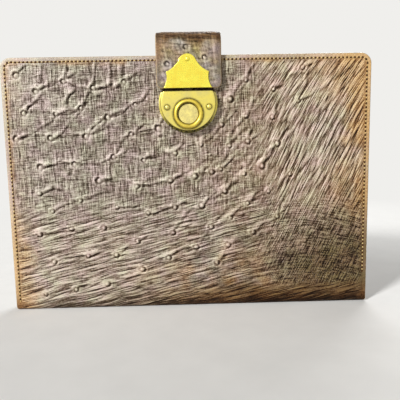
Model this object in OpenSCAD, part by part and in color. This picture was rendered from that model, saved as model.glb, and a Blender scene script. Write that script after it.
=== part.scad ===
// Leather document portfolio: a flat pouch with gusseted sides that opens at the top. A strap comes
// over the top edge from the back, and its brass hasp is held by a press-button lock on the front.
// Frame: the origin is under the middle of the case, on the surface it stands on. +X runs to the
// right along the front, +Y to the back and +Z up. Lengths are millimetres.

/* [Case] */
// Width of the case across its sewn sides
case_w = 280; // [220:1:340]
// Height of the case from the bottom fold to the top edge
case_h = 195; // [165:1:240]
// Radius of the two top corners
corner_r = 8; // [3:0.5:20]
// Room for papers between the two linings
pocket_gap = 6.4; // [5:0.2:12]
// Height of the bottom fold
fold_h = 10; // [8:0.5:16]
// Outer radius of the bottom fold
fold_r = 3.5; // [2.5:0.1:5]

/* [Layers] */
// Thickness of the outer leather
leather_t = 1.5; // [1:0.1:2]
// Thickness of the stiffening boards
board_t = 1.2; // [1:0.1:2]
// Thickness of the lining
lining_t = 0.6; // [0.4:0.1:1]
// Width of the leather turned in round each board
margin_w = 6; // [4:0.5:10]
// Distance of the lining's top edge below the top of the case
lining_drop = 3; // [2:0.5:8]

/* [Gussets] */
// Thickness of the gusset leather
gusset_t = 0.6; // [0.4:0.1:0.8]
// Width of each gusset's sewn edge
gusset_edge = 6; // [4:0.5:10]
// Distance that the gusset folds in past its sewn edge
gusset_reach = 18; // [8:0.5:20]

/* [Strap] */
// Width of the strap
strap_w = 48.8; // [44:0.1:70]
// Distance of the strap's middle to the right of the hasp's middle
strap_off = 1; // [-2:0.1:2]
// Thickness of the strap
strap_t = 2.4; // [1.8:0.1:3]
// Height of the strap's crest above the top edge
strap_rise = 17.5; // [14:0.5:26]
// Gap between the closed strap and the front of the case
strap_gap = 2; // [1.8:0.1:3]
// Length of the strap sewn to the back, below the top edge
strap_sewn = 55; // [30:1:90]
// Radius of the strap's lower corners
strap_corner_r = 4; // [1:0.1:8]

/* [Hasp] */
// Width of the hasp plate along its lower edge
hasp_w = 36.5; // [33:0.1:42]
// Height of the hasp plate
hasp_h = 24.8; // [22:0.1:28]
// Thickness of the hasp plate
hasp_t = 1; // [0.8:0.1:1.4]
// Width across the hasp's two pointed shoulders
shoulder_w = 32; // [28:0.1:35]
// Height of the shoulders above the lower edge
shoulder_h = 11.8; // [10:0.1:14]
// Radius of the hollow in each side, below the shoulders
waist_r = 13.5; // [10:0.5:24]
// Radius of the hollow above each shoulder
neck_r = 19; // [15:0.5:25]
// Radius of the round lobe at the top
lobe_r = 6.6; // [5:0.1:8]
// Gap between the hasp and the lock's straight top edge
hasp_gap = 2; // [1:0.1:3]
// Width of the staple lip that bends back from the hasp's lower edge
staple_w = 16; // [12:0.5:24]
// Distance of each hidden stud from the middle of the hasp
stud_x = 10; // [9:0.5:12]
// Diameter of the hidden studs
stud_d = 2; // [1.6:0.1:2.6]
// Thickness of the plate behind the strap
backing_t = 0.6; // [0.4:0.1:0.8]

/* [Lock] */
// Radius of the lock's round face
lock_r = 20.5; // [19.5:0.1:25]
// Height of the straight top edge above the centre of the face
chord_h = 8.9; // [8:0.1:12]
// Distance of the centre of the face below the top of the case
lock_drop = 35.5; // [32:0.1:60]
// Depth of the lock from the leather to its face
lock_depth = 6.5; // [6.3:0.1:9]
// Wall of the lock case
lock_wall = 0.9; // [0.7:0.1:1.1]
// Width of the flared skirt at the base of the lock
skirt_w = 1.8; // [1:0.1:3]
// Radius of the rounded edge of the face
edge_r = 0.8; // [0.5:0.1:1.6]
// Thickness of the lock's back plate
plate_t = 0.8; // [0.6:0.1:1]

/* [Button] */
// Diameter of the button
button_d = 15.1; // [13:0.1:15.8]
// Outer diameter of the ring round the button
collar_d = 22.6; // [21.8:0.1:24]
// Height of the ring's crest above the face
collar_rise = 1.8; // [1.3:0.1:2.4]
// Distance of the button's front below the ring's crest
button_set = 1.7; // [0.4:0.1:1.8]
// Distance that the button goes in
press_travel = 1.5; // [1:0.1:1.5]

/* [Catch] */
// Thickness of the sliding catch
catch_t = 0.9; // [0.6:0.1:1]
// Width of the catch's middle
catch_w = 14; // [12:0.5:15]
// Width of the nose that holds the staple
nose_w = 6; // [4:0.5:8]
// Height of the guides that the catch slides on
guide_h = 1; // [0.9:0.1:1.1]
// Outer diameter of the two springs
spring_d = 3; // [2.6:0.1:3.2]
// Diameter of the spring wire
spring_wire = 0.4; // [0.3:0.05:0.5]
// Turns of each spring
spring_turns = 4; // [3:1:4]
// Fitted length of the springs
spring_l = 4.9; // [4.6:0.1:6]

/* [Rivets] */
// Diameter of the rivets' shanks
rivet_d = 2.2; // [1.6:0.1:2.4]
// Diameter of the rivets' domed heads
rivet_head_d = 3.6; // [3:0.1:4.6]
// Height of the rivets' domed heads
rivet_head_h = 1; // [0.6:0.1:1.5]
// Distance of the lock rivets in from the edge of the face
rivet_in = 4.8; // [4.4:0.1:6]
// Distance of the lock rivets below the centre of the face
rivet_drop = 3.3; // [2.5:0.1:4]
// Diameter of the washers under the lock rivets
washer_d = 6; // [4.5:0.1:8]
// Thickness of the washers
washer_t = 0.5; // [0.3:0.05:0.6]
// Thickness of the rivets' closed tails
tail_t = 0.3; // [0.2:0.05:0.35]

/* [Clearances] */
// Gap between the moving front and the bottom fold
fold_clear = 0.3; // [0.2:0.05:0.6]
// Gap round each board and round the lock's back plate
seat_clear = 0.2; // [0.1:0.05:0.4]
// Gap round the sliding parts of the lock
slide_clear = 0.2; // [0.15:0.05:0.25]
// Gap round shanks and studs in their holes
hole_clear = 0.1; // [0.05:0.01:0.2]
// Gap round the staple, its eye and the catch's nose
staple_clear = 0.4; // [0.3:0.05:0.6]

/* [Hidden] */
$fn = 64;

// Colours of the pieces
hide = [0.58, 0.53, 0.47];
worn_hide = [0.52, 0.40, 0.28];
strap_hide = [0.60, 0.55, 0.46];
board_grey = [0.62, 0.58, 0.50];
lining_tan = [0.66, 0.54, 0.40];
bright_brass = [0.93, 0.83, 0.36];
aged_brass = [0.85, 0.78, 0.46];
plate_brass = [0.72, 0.62, 0.36];
spring_steel = [0.62, 0.62, 0.64];

// Case: faces of the layers, as distances from the middle plane
pocket_y = pocket_gap / 2;
board_y = pocket_y + lining_t;
leather_y = board_y + board_t;
case_y = leather_y + leather_t;
panel_z = fold_h + fold_clear;
lining_top = case_h - lining_drop;

// Gussets: the sewn edge lies on the panel, and the legs run in from it to the fold
gusset_out = case_w / 2 - seat_clear;
gusset_leg = gusset_out - gusset_edge;
gusset_y = board_y - gusset_t / 2;
gusset_top = case_h - corner_r - lining_drop;
leg_slope = gusset_y / gusset_reach;
leg_skin = gusset_t / 2 * sqrt(1 + leg_slope * leg_slope);
lining_x = gusset_leg - (gusset_y - pocket_y + seat_clear + leg_skin) / leg_slope;

// Strap: two straight ends joined by a half-round arch over the top edge
arch_in = (2 * case_y + strap_gap) / 2;
arch_out = arch_in + strap_t;
arch_y = -strap_gap / 2;
arch_z = case_h + strap_rise - arch_out;
strap_y = case_y + strap_gap;

// Lock: heights are from the centre of the face, depths from the front leather outwards
lock_z = case_h - lock_drop;
face_in = lock_depth - lock_wall;
shell_r = lock_r - lock_wall;
shell_top = chord_h - lock_wall;
skirt_rim = 0.6;
collar_land = 0.1;
button_up = -(lock_r - edge_r - collar_d / 2 - collar_land);
bore_r = button_d / 2 + slide_clear;
spigot_t = 0.7;
spigot_r = bore_r + spigot_t;
rivet_x = lock_r - rivet_in;
rivet_r = rivet_d / 2;
tail_lip = 0.6;

// Button: a flange behind the face keeps it in, and a wedge works the catch
flange_w = 0.8;
flange_r = spigot_r + flange_w;
flange_t = 0.6;
flange_out = face_in - hole_clear;
flange_in = flange_out - flange_t;
stem_w = 5;
stem_top = 2.4;
stem_tip_low = -1;

// Catch: a flat plate that slides down on the lock rivets
catch_in = plate_t + guide_h + slide_clear;
catch_out = catch_in + catch_t;
stem_entry = 0.4;
stem_tip = catch_out - stem_entry;
wedge_gap = 0.15;
window_low = stem_tip_low - stem_entry - wedge_gap;
window_top = stem_top + press_travel + staple_clear;
catch_foot = 4.4;
catch_low = button_up + window_low - catch_foot;
catch_top = shell_top - slide_clear;
ear_h = 2.4;
ear_land = 1;
ear_x = rivet_x + rivet_r + ear_land;
ear_low = -rivet_drop - ear_h;
nose_in_eye = 0.7;
nose_top = chord_h + hasp_gap + nose_in_eye;
nose_bevel = 0.5;

// Springs: seated on two bent tabs of the back plate, under the catch's ears
spring_land = 0.6;
spring_x = rivet_x - rivet_r - slide_clear - spring_land - spring_d / 2;
spring_out = (catch_in + catch_out) / 2;
spring_end = 0.1;
seat_up = ear_low - spring_l - 2 * spring_end;
seat_t = 0.8;
seat_side = 0.5;
seat_w = spring_d + 2 * seat_side;
guide_r = 1.2;
guide_off = 2.5;
guide_x = catch_w / 2 + guide_off;
coil_r = (spring_d - spring_wire) / 2;
coil_l = spring_l - spring_wire;
coil_steps = 8;
wire_sides = 6;
coil_rings = coil_steps * spring_turns;

// Hasp: lies on the front of the strap, with its lower edge just above the lock
hasp_z = lock_z + chord_h + hasp_gap;
hasp_y = strap_y + strap_t;
lobe_z = hasp_h - lobe_r;
hasp_rivet_drop = 3.9;
hasp_rivet_up = hasp_h - hasp_rivet_drop;
stud_drop = 4;
stud_up = shoulder_h - stud_drop;
staple_in = 0.5;
eye_x = nose_w / 2 + staple_clear;
backing_land = 2;
backing_w = 2 * stud_x + stud_d + 2 * backing_land;
backing_low = hasp_t + backing_land;
backing_y = strap_y - backing_t;

// Coils: the wire's middle line, and the least gap between neighbouring turns
function coil_point(i) =
    let (turn = 360 * i / coil_steps)
    [coil_r * cos(turn), coil_r * sin(turn), coil_l * i / coil_rings];
coil_gap = min([
    for (i = [0 : coil_rings], j = [i + coil_steps / 2 : coil_rings]) norm(coil_point(i) - coil_point(j))
]) - spring_wire;
echo(spring_gap = coil_gap);

// Points where two circles meet, on the side of the first centre given by the sign
function meet(a, ra, b, rb, side) =
    let (
        d = norm(b - a),
        along = (d * d + ra * ra - rb * rb) / (2 * d),
        off = side * sqrt(ra * ra - along * along),
        u = (b - a) / d
    )
    a + along * u + off * [-u[1], u[0]];

// Outline of a folded sheet of thickness t whose middle line runs through the points
function unit(v) = v / norm(v);
function left_of(v) = [-v[1], v[0]];
function sheet_normal(path, i) =
    let (
        last = len(path) - 1,
        before = left_of(unit(path[max(i, 1)] - path[max(i, 1) - 1])),
        after = left_of(unit(path[min(i, last - 1) + 1] - path[min(i, last - 1)]))
    )
    (before + after) / (1 + before * after);
function sheet_outline(path, t) = concat(
    [for (i = [0 : len(path) - 1]) path[i] + t / 2 * sheet_normal(path, i)],
    [for (i = [len(path) - 1 : -1 : 0]) path[i] - t / 2 * sheet_normal(path, i)]
);

// Stands an outline drawn in X and Z upright, from depth y and t thick
module upright(y, t) {
    translate([0, y + t, 0]) rotate([90, 0, 0]) linear_extrude(t) children();
}

// Runs an outline drawn in Y and Z along X
module along_x(length) {
    rotate([90, 0, 90]) linear_extrude(length, center = true) children();
}

// Places what is drawn on the lock's face: X across, Y up, Z out of the front leather
module on_front() {
    translate([0, -case_y, lock_z]) rotate([90, 0, 0]) children();
}

// Turns an outline drawn in depth and height so that it runs across the lock
module across(width) {
    rotate([0, -90, 0]) linear_extrude(width, center = true) children();
}

// One on each side of the middle
module both_sides() {
    children();
    mirror([1, 0, 0]) children();
}

// Case pieces

// Panel outline with rounded top corners, set in from the sides and the top
module panel_outline(inset, low) {
    half_w = case_w / 2 - inset;
    top = case_h - inset;
    r = max(corner_r - inset, 0.5);
    translate([-half_w, low]) square([2 * half_w, top - r - low]);
    translate([-half_w + r, low]) square([2 * (half_w - r), top - low]);
    for (side = [-1, 1]) translate([side * (half_w - r), top - r]) circle(r);
}

module leather() {
    upright(-case_y, leather_t) panel_outline(0, panel_z);
    upright(-leather_y, board_t) difference() {
        panel_outline(0, panel_z);
        panel_outline(margin_w, panel_z - 1);
    }
}

module board() {
    upright(-leather_y, board_t) panel_outline(margin_w + seat_clear, panel_z);
}

module lining() {
    upright(-board_y, lining_t)
        translate([-lining_x, panel_z]) square([2 * lining_x, lining_top - panel_z]);
}

// Rounded channel, open at the top, for the fold and its lining
module channel_outline(half_w, low, r) {
    translate([-half_w, low + r]) square([2 * half_w, fold_h - low - r]);
    translate([-half_w + r, low]) square([2 * (half_w - r), fold_h - low]);
    for (side = [-1, 1]) translate([side * (half_w - r), low + r]) circle(r);
}

module channel(outer, inner, length) {
    along_x(length) difference() {
        channel_outline(case_y - outer, outer, fold_r - outer);
        channel_outline(case_y - inner, inner, max(fold_r - inner, 0.2));
        translate([-case_y + inner, fold_h - 1]) square([2 * (case_y - inner), 2]);
    }
}

module gusset() {
    path = [
        [gusset_out, -gusset_y],
        [gusset_leg, -gusset_y],
        [gusset_leg - gusset_reach, 0],
        [gusset_leg, gusset_y],
        [gusset_out, gusset_y]
    ];
    translate([0, 0, panel_z])
        linear_extrude(gusset_top - panel_z) polygon(sheet_outline(path, gusset_t));
}

// Holes for the lock rivets, straight through the front
module rivet_holes(r, from, to) {
    on_front() both_sides()
        translate([rivet_x, -rivet_drop, from]) cylinder(r = r, h = to - from);
}

module front_panel() {
    color(hide) difference() {
        leather();
        rivet_holes(rivet_r + hole_clear, -leather_t - 1, 1);
    }
}

module front_board() {
    washer_floor = -leather_t - board_t + washer_t + tail_t;
    color(board_grey) difference() {
        board();
        rivet_holes(rivet_r + hole_clear, -case_y, 1);
        rivet_holes(washer_d / 2 + seat_clear, -case_y, washer_floor);
    }
}

module front_lining() {
    color(lining_tan) lining();
}

module back_panel() {
    color(hide) mirror([0, 1, 0]) leather();
}

module back_board() {
    color(board_grey) mirror([0, 1, 0]) board();
}

module back_lining() {
    color(lining_tan) mirror([0, 1, 0]) lining();
}

module bottom_fold() {
    color(worn_hide) channel(0, leather_t, case_w);
}

module bottom_lining() {
    color(lining_tan) channel(leather_t, leather_t + lining_t, case_w - 2 * margin_w);
}

module left_gusset() {
    color(worn_hide) mirror([1, 0, 0]) gusset();
}

module right_gusset() {
    color(worn_hide) gusset();
}

// Strap pieces

// Straight end of the strap with rounded lower corners
module strap_outline(low, top) {
    r = strap_corner_r;
    half_w = strap_w / 2;
    translate([strap_off - half_w, low + r]) square([strap_w, top - low - r]);
    translate([strap_off - half_w + r, low]) square([strap_w - 2 * r, top - low]);
    for (side = [-1, 1]) translate([strap_off + side * (half_w - r), low + r]) circle(r);
}

// Holes along Y through the strap and the plate behind it, at a height above the hasp's lower edge
module strap_hole(x, up, r) {
    translate([x, 0, hasp_z + up]) rotate([90, 0, 0]) cylinder(r = r, h = hasp_y + hasp_t);
}

module hasp_holes() {
    for (side = [-1, 1]) strap_hole(side * stud_x, stud_up, stud_d / 2 + hole_clear);
    strap_hole(0, hasp_rivet_up, rivet_r + hole_clear);
}

module strap_back() {
    color(strap_hide) upright(case_y, strap_t) strap_outline(case_h - strap_sewn, arch_z);
}

module strap_bend() {
    color(strap_hide) translate([strap_off, 0, 0]) along_x(strap_w) translate([arch_y, arch_z]) difference() {
        circle(arch_out);
        circle(arch_in);
        translate([-2 * arch_out, -2 * arch_out]) square([4 * arch_out, 2 * arch_out]);
    }
}

module strap_front() {
    notch_w = staple_w + 2 * staple_clear;
    color(strap_hide) difference() {
        upright(-hasp_y, strap_t) difference() {
            strap_outline(hasp_z, arch_z);
            translate([-notch_w / 2, hasp_z - 1]) square([notch_w, 1 + hasp_t + seat_clear]);
        }
        hasp_holes();
    }
}

// Hasp pieces

// Waisted plate with two pointed shoulders and a round lobe
module hasp_outline() {
    foot = [hasp_w / 2, 0];
    shoulder = [shoulder_w / 2, shoulder_h];
    lobe = [0, lobe_z];
    waist = meet(foot, waist_r, shoulder, waist_r, -1);
    neck = meet(lobe, lobe_r + neck_r, shoulder, neck_r, 1);
    neck_end = lobe + lobe_r * unit(neck - lobe);
    right = [foot, shoulder, neck_end];
    left = [for (i = [2 : -1 : 0]) [-right[i][0], right[i][1]]];
    translate(lobe) circle(lobe_r);
    difference() {
        difference() {
            polygon(concat(right, left));
            both_sides() translate(waist) circle(waist_r);
        }
        both_sides() translate(neck) circle(neck_r);
    }
}

// Lip that bends back under the strap, with the eye that the catch's nose enters
module staple() {
    lip_l = hasp_y + hasp_t - case_y - staple_in;
    translate([0, -case_y - staple_in, hasp_z]) difference() {
        translate([-staple_w / 2, -lip_l, 0]) cube([staple_w, lip_l, hasp_t]);
        translate([-eye_x, staple_in - catch_out - staple_clear, -1])
            cube([2 * eye_x, catch_t + 2 * staple_clear, hasp_t + 2]);
    }
}

module hasp_plate() {
    stud_l = strap_t + backing_t;
    color(bright_brass) {
        difference() {
            upright(-hasp_y - hasp_t, hasp_t) translate([0, hasp_z]) hasp_outline();
            strap_hole(0, hasp_rivet_up, rivet_r + hole_clear);
        }
        staple();
        for (side = [-1, 1])
            translate([side * stud_x, -backing_y, hasp_z + stud_up])
                rotate([90, 0, 0]) cylinder(r = stud_d / 2, h = stud_l);
    }
}

// Domed head on a shank, with its tail closed over at the far end
module rivet(grip) {
    ball_r = (rivet_head_h * rivet_head_h + rivet_head_d * rivet_head_d / 4) / (2 * rivet_head_h);
    rotate_extrude() intersection() {
        translate([0, rivet_head_h - ball_r]) circle(ball_r);
        square([rivet_head_d / 2, rivet_head_h]);
    }
    translate([0, 0, -grip]) cylinder(r = rivet_r, h = grip);
    translate([0, 0, -grip - tail_t]) cylinder(r = rivet_r + tail_lip, h = tail_t);
}

module hasp_rivet() {
    color(bright_brass) translate([0, -hasp_y - hasp_t, hasp_z + hasp_rivet_up])
        rotate([90, 0, 0]) rivet(hasp_t + strap_t + backing_t);
}

module hasp_backing_plate() {
    height = hasp_rivet_up + rivet_r + backing_land - backing_low;
    color(plate_brass) difference() {
        upright(-strap_y, backing_t)
            translate([-backing_w / 2, hasp_z + backing_low]) square([backing_w, height]);
        hasp_holes();
    }
}

// Lock pieces

// Keeps what lies below a straight edge at a height above the centre of the face
module below(up) {
    reach = 2 * lock_r;
    intersection() {
        children();
        translate([-reach, up - 2 * reach, -1]) cube([2 * reach, 2 * reach, lock_depth + 2]);
    }
}

// Half profile of the lock: flared skirt, straight side and rounded face edge
module lock_profile() {
    skirt_r = lock_r + skirt_w;
    square([lock_r - edge_r, lock_depth]);
    square([lock_r, lock_depth - edge_r]);
    translate([lock_r - edge_r, lock_depth - edge_r]) circle(edge_r);
    difference() {
        square([skirt_r, skirt_rim + skirt_w]);
        translate([skirt_r, skirt_rim + skirt_w]) circle(skirt_w);
    }
}

module lock_case() {
    slot_w = nose_w + 2 * staple_clear;
    slot_d = catch_t + 2 * slide_clear;
    color(aged_brass) difference() {
        on_front() difference() {
            below(chord_h) rotate_extrude() lock_profile();
            below(shell_top) translate([0, 0, -1]) cylinder(r = shell_r, h = face_in + 1);
            translate([0, button_up, 0]) cylinder(r = spigot_r + hole_clear, h = lock_depth + 1);
            translate([-slot_w / 2, shell_top - 1, catch_in - slide_clear])
                cube([slot_w, lock_wall + 2, slot_d]);
        }
        rivet_holes(rivet_r + hole_clear, 0, lock_depth + 1);
    }
}

module lock_back_plate() {
    seat_out = spring_out + spring_d / 2;
    color(plate_brass) difference() {
        on_front() {
            below(shell_top - seat_clear) cylinder(r = shell_r - seat_clear, h = plate_t);
            both_sides() {
                translate([guide_x, -rivet_drop, 0]) cylinder(r = guide_r, h = plate_t + guide_h);
                translate([spring_x - seat_w / 2, seat_up - seat_t, 0]) cube([seat_w, seat_t, seat_out]);
            }
        }
        rivet_holes(rivet_r + hole_clear, -1, plate_t + 1);
    }
}

module button_collar() {
    collar_r = collar_d / 2;
    crest_r = (collar_r - bore_r) / 2;
    foot_t = 0.5;
    color(bright_brass) on_front() translate([0, button_up, lock_depth]) rotate_extrude() {
        translate([bore_r, -lock_wall]) square([spigot_r - bore_r, lock_wall + foot_t]);
        translate([bore_r, 0]) square([collar_r - bore_r, foot_t]);
        intersection() {
            translate([bore_r + crest_r, collar_rise - crest_r]) circle(crest_r);
            translate([bore_r, 0]) square([collar_r - bore_r, collar_rise]);
        }
    }
}

module button() {
    head_out = lock_depth + collar_rise - button_set;
    head_r = button_d / 2;
    rim_r = 0.5;
    color(aged_brass) on_front() translate([0, button_up, 0]) {
        rotate_extrude() {
            translate([0, flange_in]) square([flange_r, flange_t]);
            translate([0, flange_in]) square([head_r, head_out - rim_r - flange_in]);
            translate([0, flange_in]) square([head_r - rim_r, head_out - flange_in]);
            translate([head_r - rim_r, head_out - rim_r]) circle(rim_r);
        }
        across(stem_w) polygon([
            [flange_in, stem_top],
            [stem_tip, stem_top],
            [stem_tip, stem_tip_low],
            [flange_in, stem_tip_low - (flange_in - stem_tip)]
        ]);
    }
}

module catch_outline() {
    window_w = stem_w + 2 * staple_clear;
    slot_r = rivet_r + slide_clear;
    difference() {
        union() {
            translate([-catch_w / 2, catch_low]) square([catch_w, catch_top - catch_low]);
            translate([-nose_w / 2, 0]) square([nose_w, nose_top]);
            translate([-ear_x, ear_low]) square([2 * ear_x, 2 * ear_h]);
        }
        translate([-window_w / 2, button_up + window_low]) square([window_w, window_top - window_low]);
        for (side = [-1, 1]) translate([side * rivet_x, -rivet_drop]) {
            circle(slot_r);
            translate([-slot_r, 0]) square([2 * slot_r, ear_h + 1]);
        }
    }
}

module catch_plate() {
    color(plate_brass) on_front() difference() {
        translate([0, 0, catch_in]) linear_extrude(catch_t) catch_outline();
        translate([0, nose_top, catch_out]) rotate([45, 0, 0])
            cube([nose_w + 1, 2 * nose_bevel, 2 * nose_bevel], center = true);
    }
}

// One unbroken wire, swept round the coil's middle line
module coil() {
    wire_r = spring_wire / 2;
    points = [
        for (i = [0 : coil_rings], k = [0 : wire_sides - 1])
            let (
                turn = 360 * i / coil_steps,
                lean = 360 * k / wire_sides,
                reach = coil_r + wire_r * cos(lean)
            )
            [reach * cos(turn), reach * sin(turn), coil_l * i / coil_rings + wire_r * sin(lean)]
    ];
    sides = [
        for (i = [0 : coil_rings - 1], k = [0 : wire_sides - 1])
            let (
                a = i * wire_sides + k,
                b = i * wire_sides + (k + 1) % wire_sides,
                c = b + wire_sides,
                d = a + wire_sides
            )
            each [[a, b, c], [a, c, d]]
    ];
    first = coil_rings * wire_sides;
    ends = [
        for (k = [1 : wire_sides - 2])
            each [[0, k + 1, k], [first, first + k, first + k + 1]]
    ];
    polyhedron(points, concat(sides, ends));
}

module catch_springs() {
    color(spring_steel) on_front() both_sides()
        translate([spring_x, seat_up + spring_end + spring_wire / 2, spring_out])
            rotate([-90, 0, 0]) coil();
}

module lock_rivets() {
    color(aged_brass) on_front() both_sides()
        translate([rivet_x, -rivet_drop, lock_depth]) rivet(lock_depth + leather_t + board_t - tail_t);
}

module rivet_washers() {
    floor = -leather_t - board_t + tail_t;
    color(plate_brass) difference() {
        on_front() both_sides()
            translate([rivet_x, -rivet_drop, floor]) cylinder(r = washer_d / 2, h = washer_t);
        rivet_holes(rivet_r + hole_clear, -case_y, 1);
    }
}

front_panel();
front_board();
front_lining();
back_panel();
back_board();
back_lining();
bottom_fold();
bottom_lining();
left_gusset();
right_gusset();
strap_back();
strap_bend();
strap_front();
hasp_plate();
hasp_rivet();
hasp_backing_plate();
lock_case();
lock_back_plate();
button_collar();
button();
catch_plate();
catch_springs();
lock_rivets();
rivet_washers();
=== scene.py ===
"""Looks of the leather document portfolio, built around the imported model.

Lengths are millimetres in the part's own frame until a mesh is made, and metres from there on."""
import math

import bmesh
import bpy
import numpy as np
from mathutils import Matrix


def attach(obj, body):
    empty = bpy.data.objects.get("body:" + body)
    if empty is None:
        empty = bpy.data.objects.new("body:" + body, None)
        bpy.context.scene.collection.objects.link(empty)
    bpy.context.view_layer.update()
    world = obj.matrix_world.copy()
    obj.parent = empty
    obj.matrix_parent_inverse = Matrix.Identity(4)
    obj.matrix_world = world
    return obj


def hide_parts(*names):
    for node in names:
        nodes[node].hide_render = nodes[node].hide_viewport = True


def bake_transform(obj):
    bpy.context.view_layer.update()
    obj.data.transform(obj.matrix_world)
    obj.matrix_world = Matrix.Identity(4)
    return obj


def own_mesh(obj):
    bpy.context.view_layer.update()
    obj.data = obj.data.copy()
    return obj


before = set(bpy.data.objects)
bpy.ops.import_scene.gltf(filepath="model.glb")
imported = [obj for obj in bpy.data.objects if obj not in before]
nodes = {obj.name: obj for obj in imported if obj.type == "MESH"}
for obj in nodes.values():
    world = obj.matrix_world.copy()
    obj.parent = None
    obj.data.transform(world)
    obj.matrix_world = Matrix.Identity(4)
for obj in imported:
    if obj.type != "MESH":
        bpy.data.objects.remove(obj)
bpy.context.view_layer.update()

MM = 0.001
TURN = 2 * math.pi

# Case, with the sizes of the part's source
CASE_W = 280.0
CASE_H = 195.0
HALF_W = CASE_W / 2
CORNER_R = 8.0
CASE_Y = 6.5
FOLD_R = 3.5
FOLD_H = 10.0
LEATHER_T = 1.5
BOARD_T = 1.2
LINING_T = 0.6
LEATHER_Y = CASE_Y - LEATHER_T
BOARD_Y = LEATHER_Y - BOARD_T
MARGIN_W = 6.0
PANEL_Z = 10.3
LINING_TOP = 192.0
LINING_X = 129.6
TURN_IN_EDGE = 0.12
TURN_IN_BEVEL = 0.22
TURNED_PROUD = 0.04
TURNED_T = 0.3
FOLD_LOW = FOLD_R - FOLD_R * math.pi / 2 - (CASE_Y - FOLD_R)

# Gussets
GUSSET_T = 0.6
GUSSET_OUT = 139.8
GUSSET_LEG = 133.8
GUSSET_REACH = 18.0
GUSSET_Y = 3.5
GUSSET_TOP = 184.0

# Strap: two straight ends joined by an arch
STRAP_HALF = 24.4
STRAP_OFF = 1.0
STRAP_T = 2.4
STRAP_LOW = 140.0
STRAP_TIP = 170.4
STRAP_CORNER_R = 4.0
ARCH_Y = -1.0
ARCH_Z = 202.6
ARCH_R = 9.9
STRAP_L = ARCH_Z - STRAP_LOW + ARCH_R * math.pi + ARCH_Z - STRAP_TIP
NOTCH_HALF = 8.4
NOTCH_H = 1.2

# Hasp: depths are distances in front of the middle of the case
HASP_Y = ARCH_R - ARCH_Y
HASP_T = 1.0
HASP_Z = STRAP_TIP
HASP_HALF = 18.25
HASP_H = 24.8
SHOULDER_X = 16.0
SHOULDER_Z = 11.8
WAIST_R = 13.5
NECK_R = 19.0
LOBE_R = 6.6
HASP_RIVET_Z = 191.3
STUD_X = 10.0
STUD_Z = 178.2
STUD_R = 1.0
BACKING_T = 0.6
STRAP_AND_PLATE = STRAP_T + BACKING_T
STAPLE_HALF = 8.0
STAPLE_IN = 7.0
EYE_HALF = 3.4
EYE_NEAR = 9.8
EYE_FAR = 8.1

# Lock: heights from the centre of the face, depths from the front leather outwards, RIVET_IN inwards
LOCK_Z = 159.5
LOCK_R = 20.5
CHORD_H = 8.9
LOCK_DEPTH = 6.5
LOCK_WALL = 0.9
SKIRT_W = 1.8
SKIRT_RIM = 0.6
EDGE_R = 0.8
BUTTON_UP = -8.3
BUTTON_R = 7.55
BORE_R = 7.75
SPIGOT_R = 8.45
HOLE_R = 8.55
COLLAR_R = 11.3
COLLAR_RISE = 1.8
BUTTON_SET = 1.7
FLANGE_R = 9.25
FLANGE_IN = 4.9
FLANGE_OUT = 5.5
STEM_HALF = 2.5
STEM_TOP = 2.4
STEM_LOW = -1.0
STEM_TIP = 2.5
RIVET_X = 15.7
RIVET_UP = -3.3
RIVET_R = 1.1
RIVET_HEAD_R = 1.8
RIVET_HEAD_H = 1.0
RIVET_IN = 2.4
TAIL_R = 1.7
TAIL_T = 0.3
SPRING_X = 12.3
SPRING_LOW = -10.5
SPRING_L = 4.9
SPRING_R = 1.3
SPRING_TURNS = 4
SPRING_OUT = 2.45
WIRE_R = 0.2

# Sewing, with the heights at which a panel's seam ends on the left and on the right
STITCH_IN = 3.4
STITCH_PITCH = 3.0
STITCH_L = 1.3
THREAD_R = 0.46
THREAD_LIFT = 0.05
STITCH_SLANT = 0.16
HOLE_SIZE = 0.85
HOLE_RISE = 0.1
HOLE_SINK = 0.3
SEAM_LIFT = 0.1
FRONT_SEAM_LOW = (6.0, 25.0)
BACK_SEAM_LOW = (8.0, 8.0)
STRAP_SEAM_TOP = 52.0

# Grid of the leather, and its finer steps at a rounded edge
STEP = 0.78
EDGE_STEPS = (0.14, 0.4)
# Depth of the inside of a sheet in the coordinates that its material reads
REST_IN = 9.0

# Camera, at the photograph's viewing angle, and the side of the photograph's frame in pixels
LENS = 40.5
SENSOR = 36.0
CAMERA_AT = np.array([-0.34, -355.03, 128.57])
YAW = math.radians(1.296)
PITCH = math.radians(-7.084)
ROLL = math.radians(-1.121)
FRAME = 400

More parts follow.
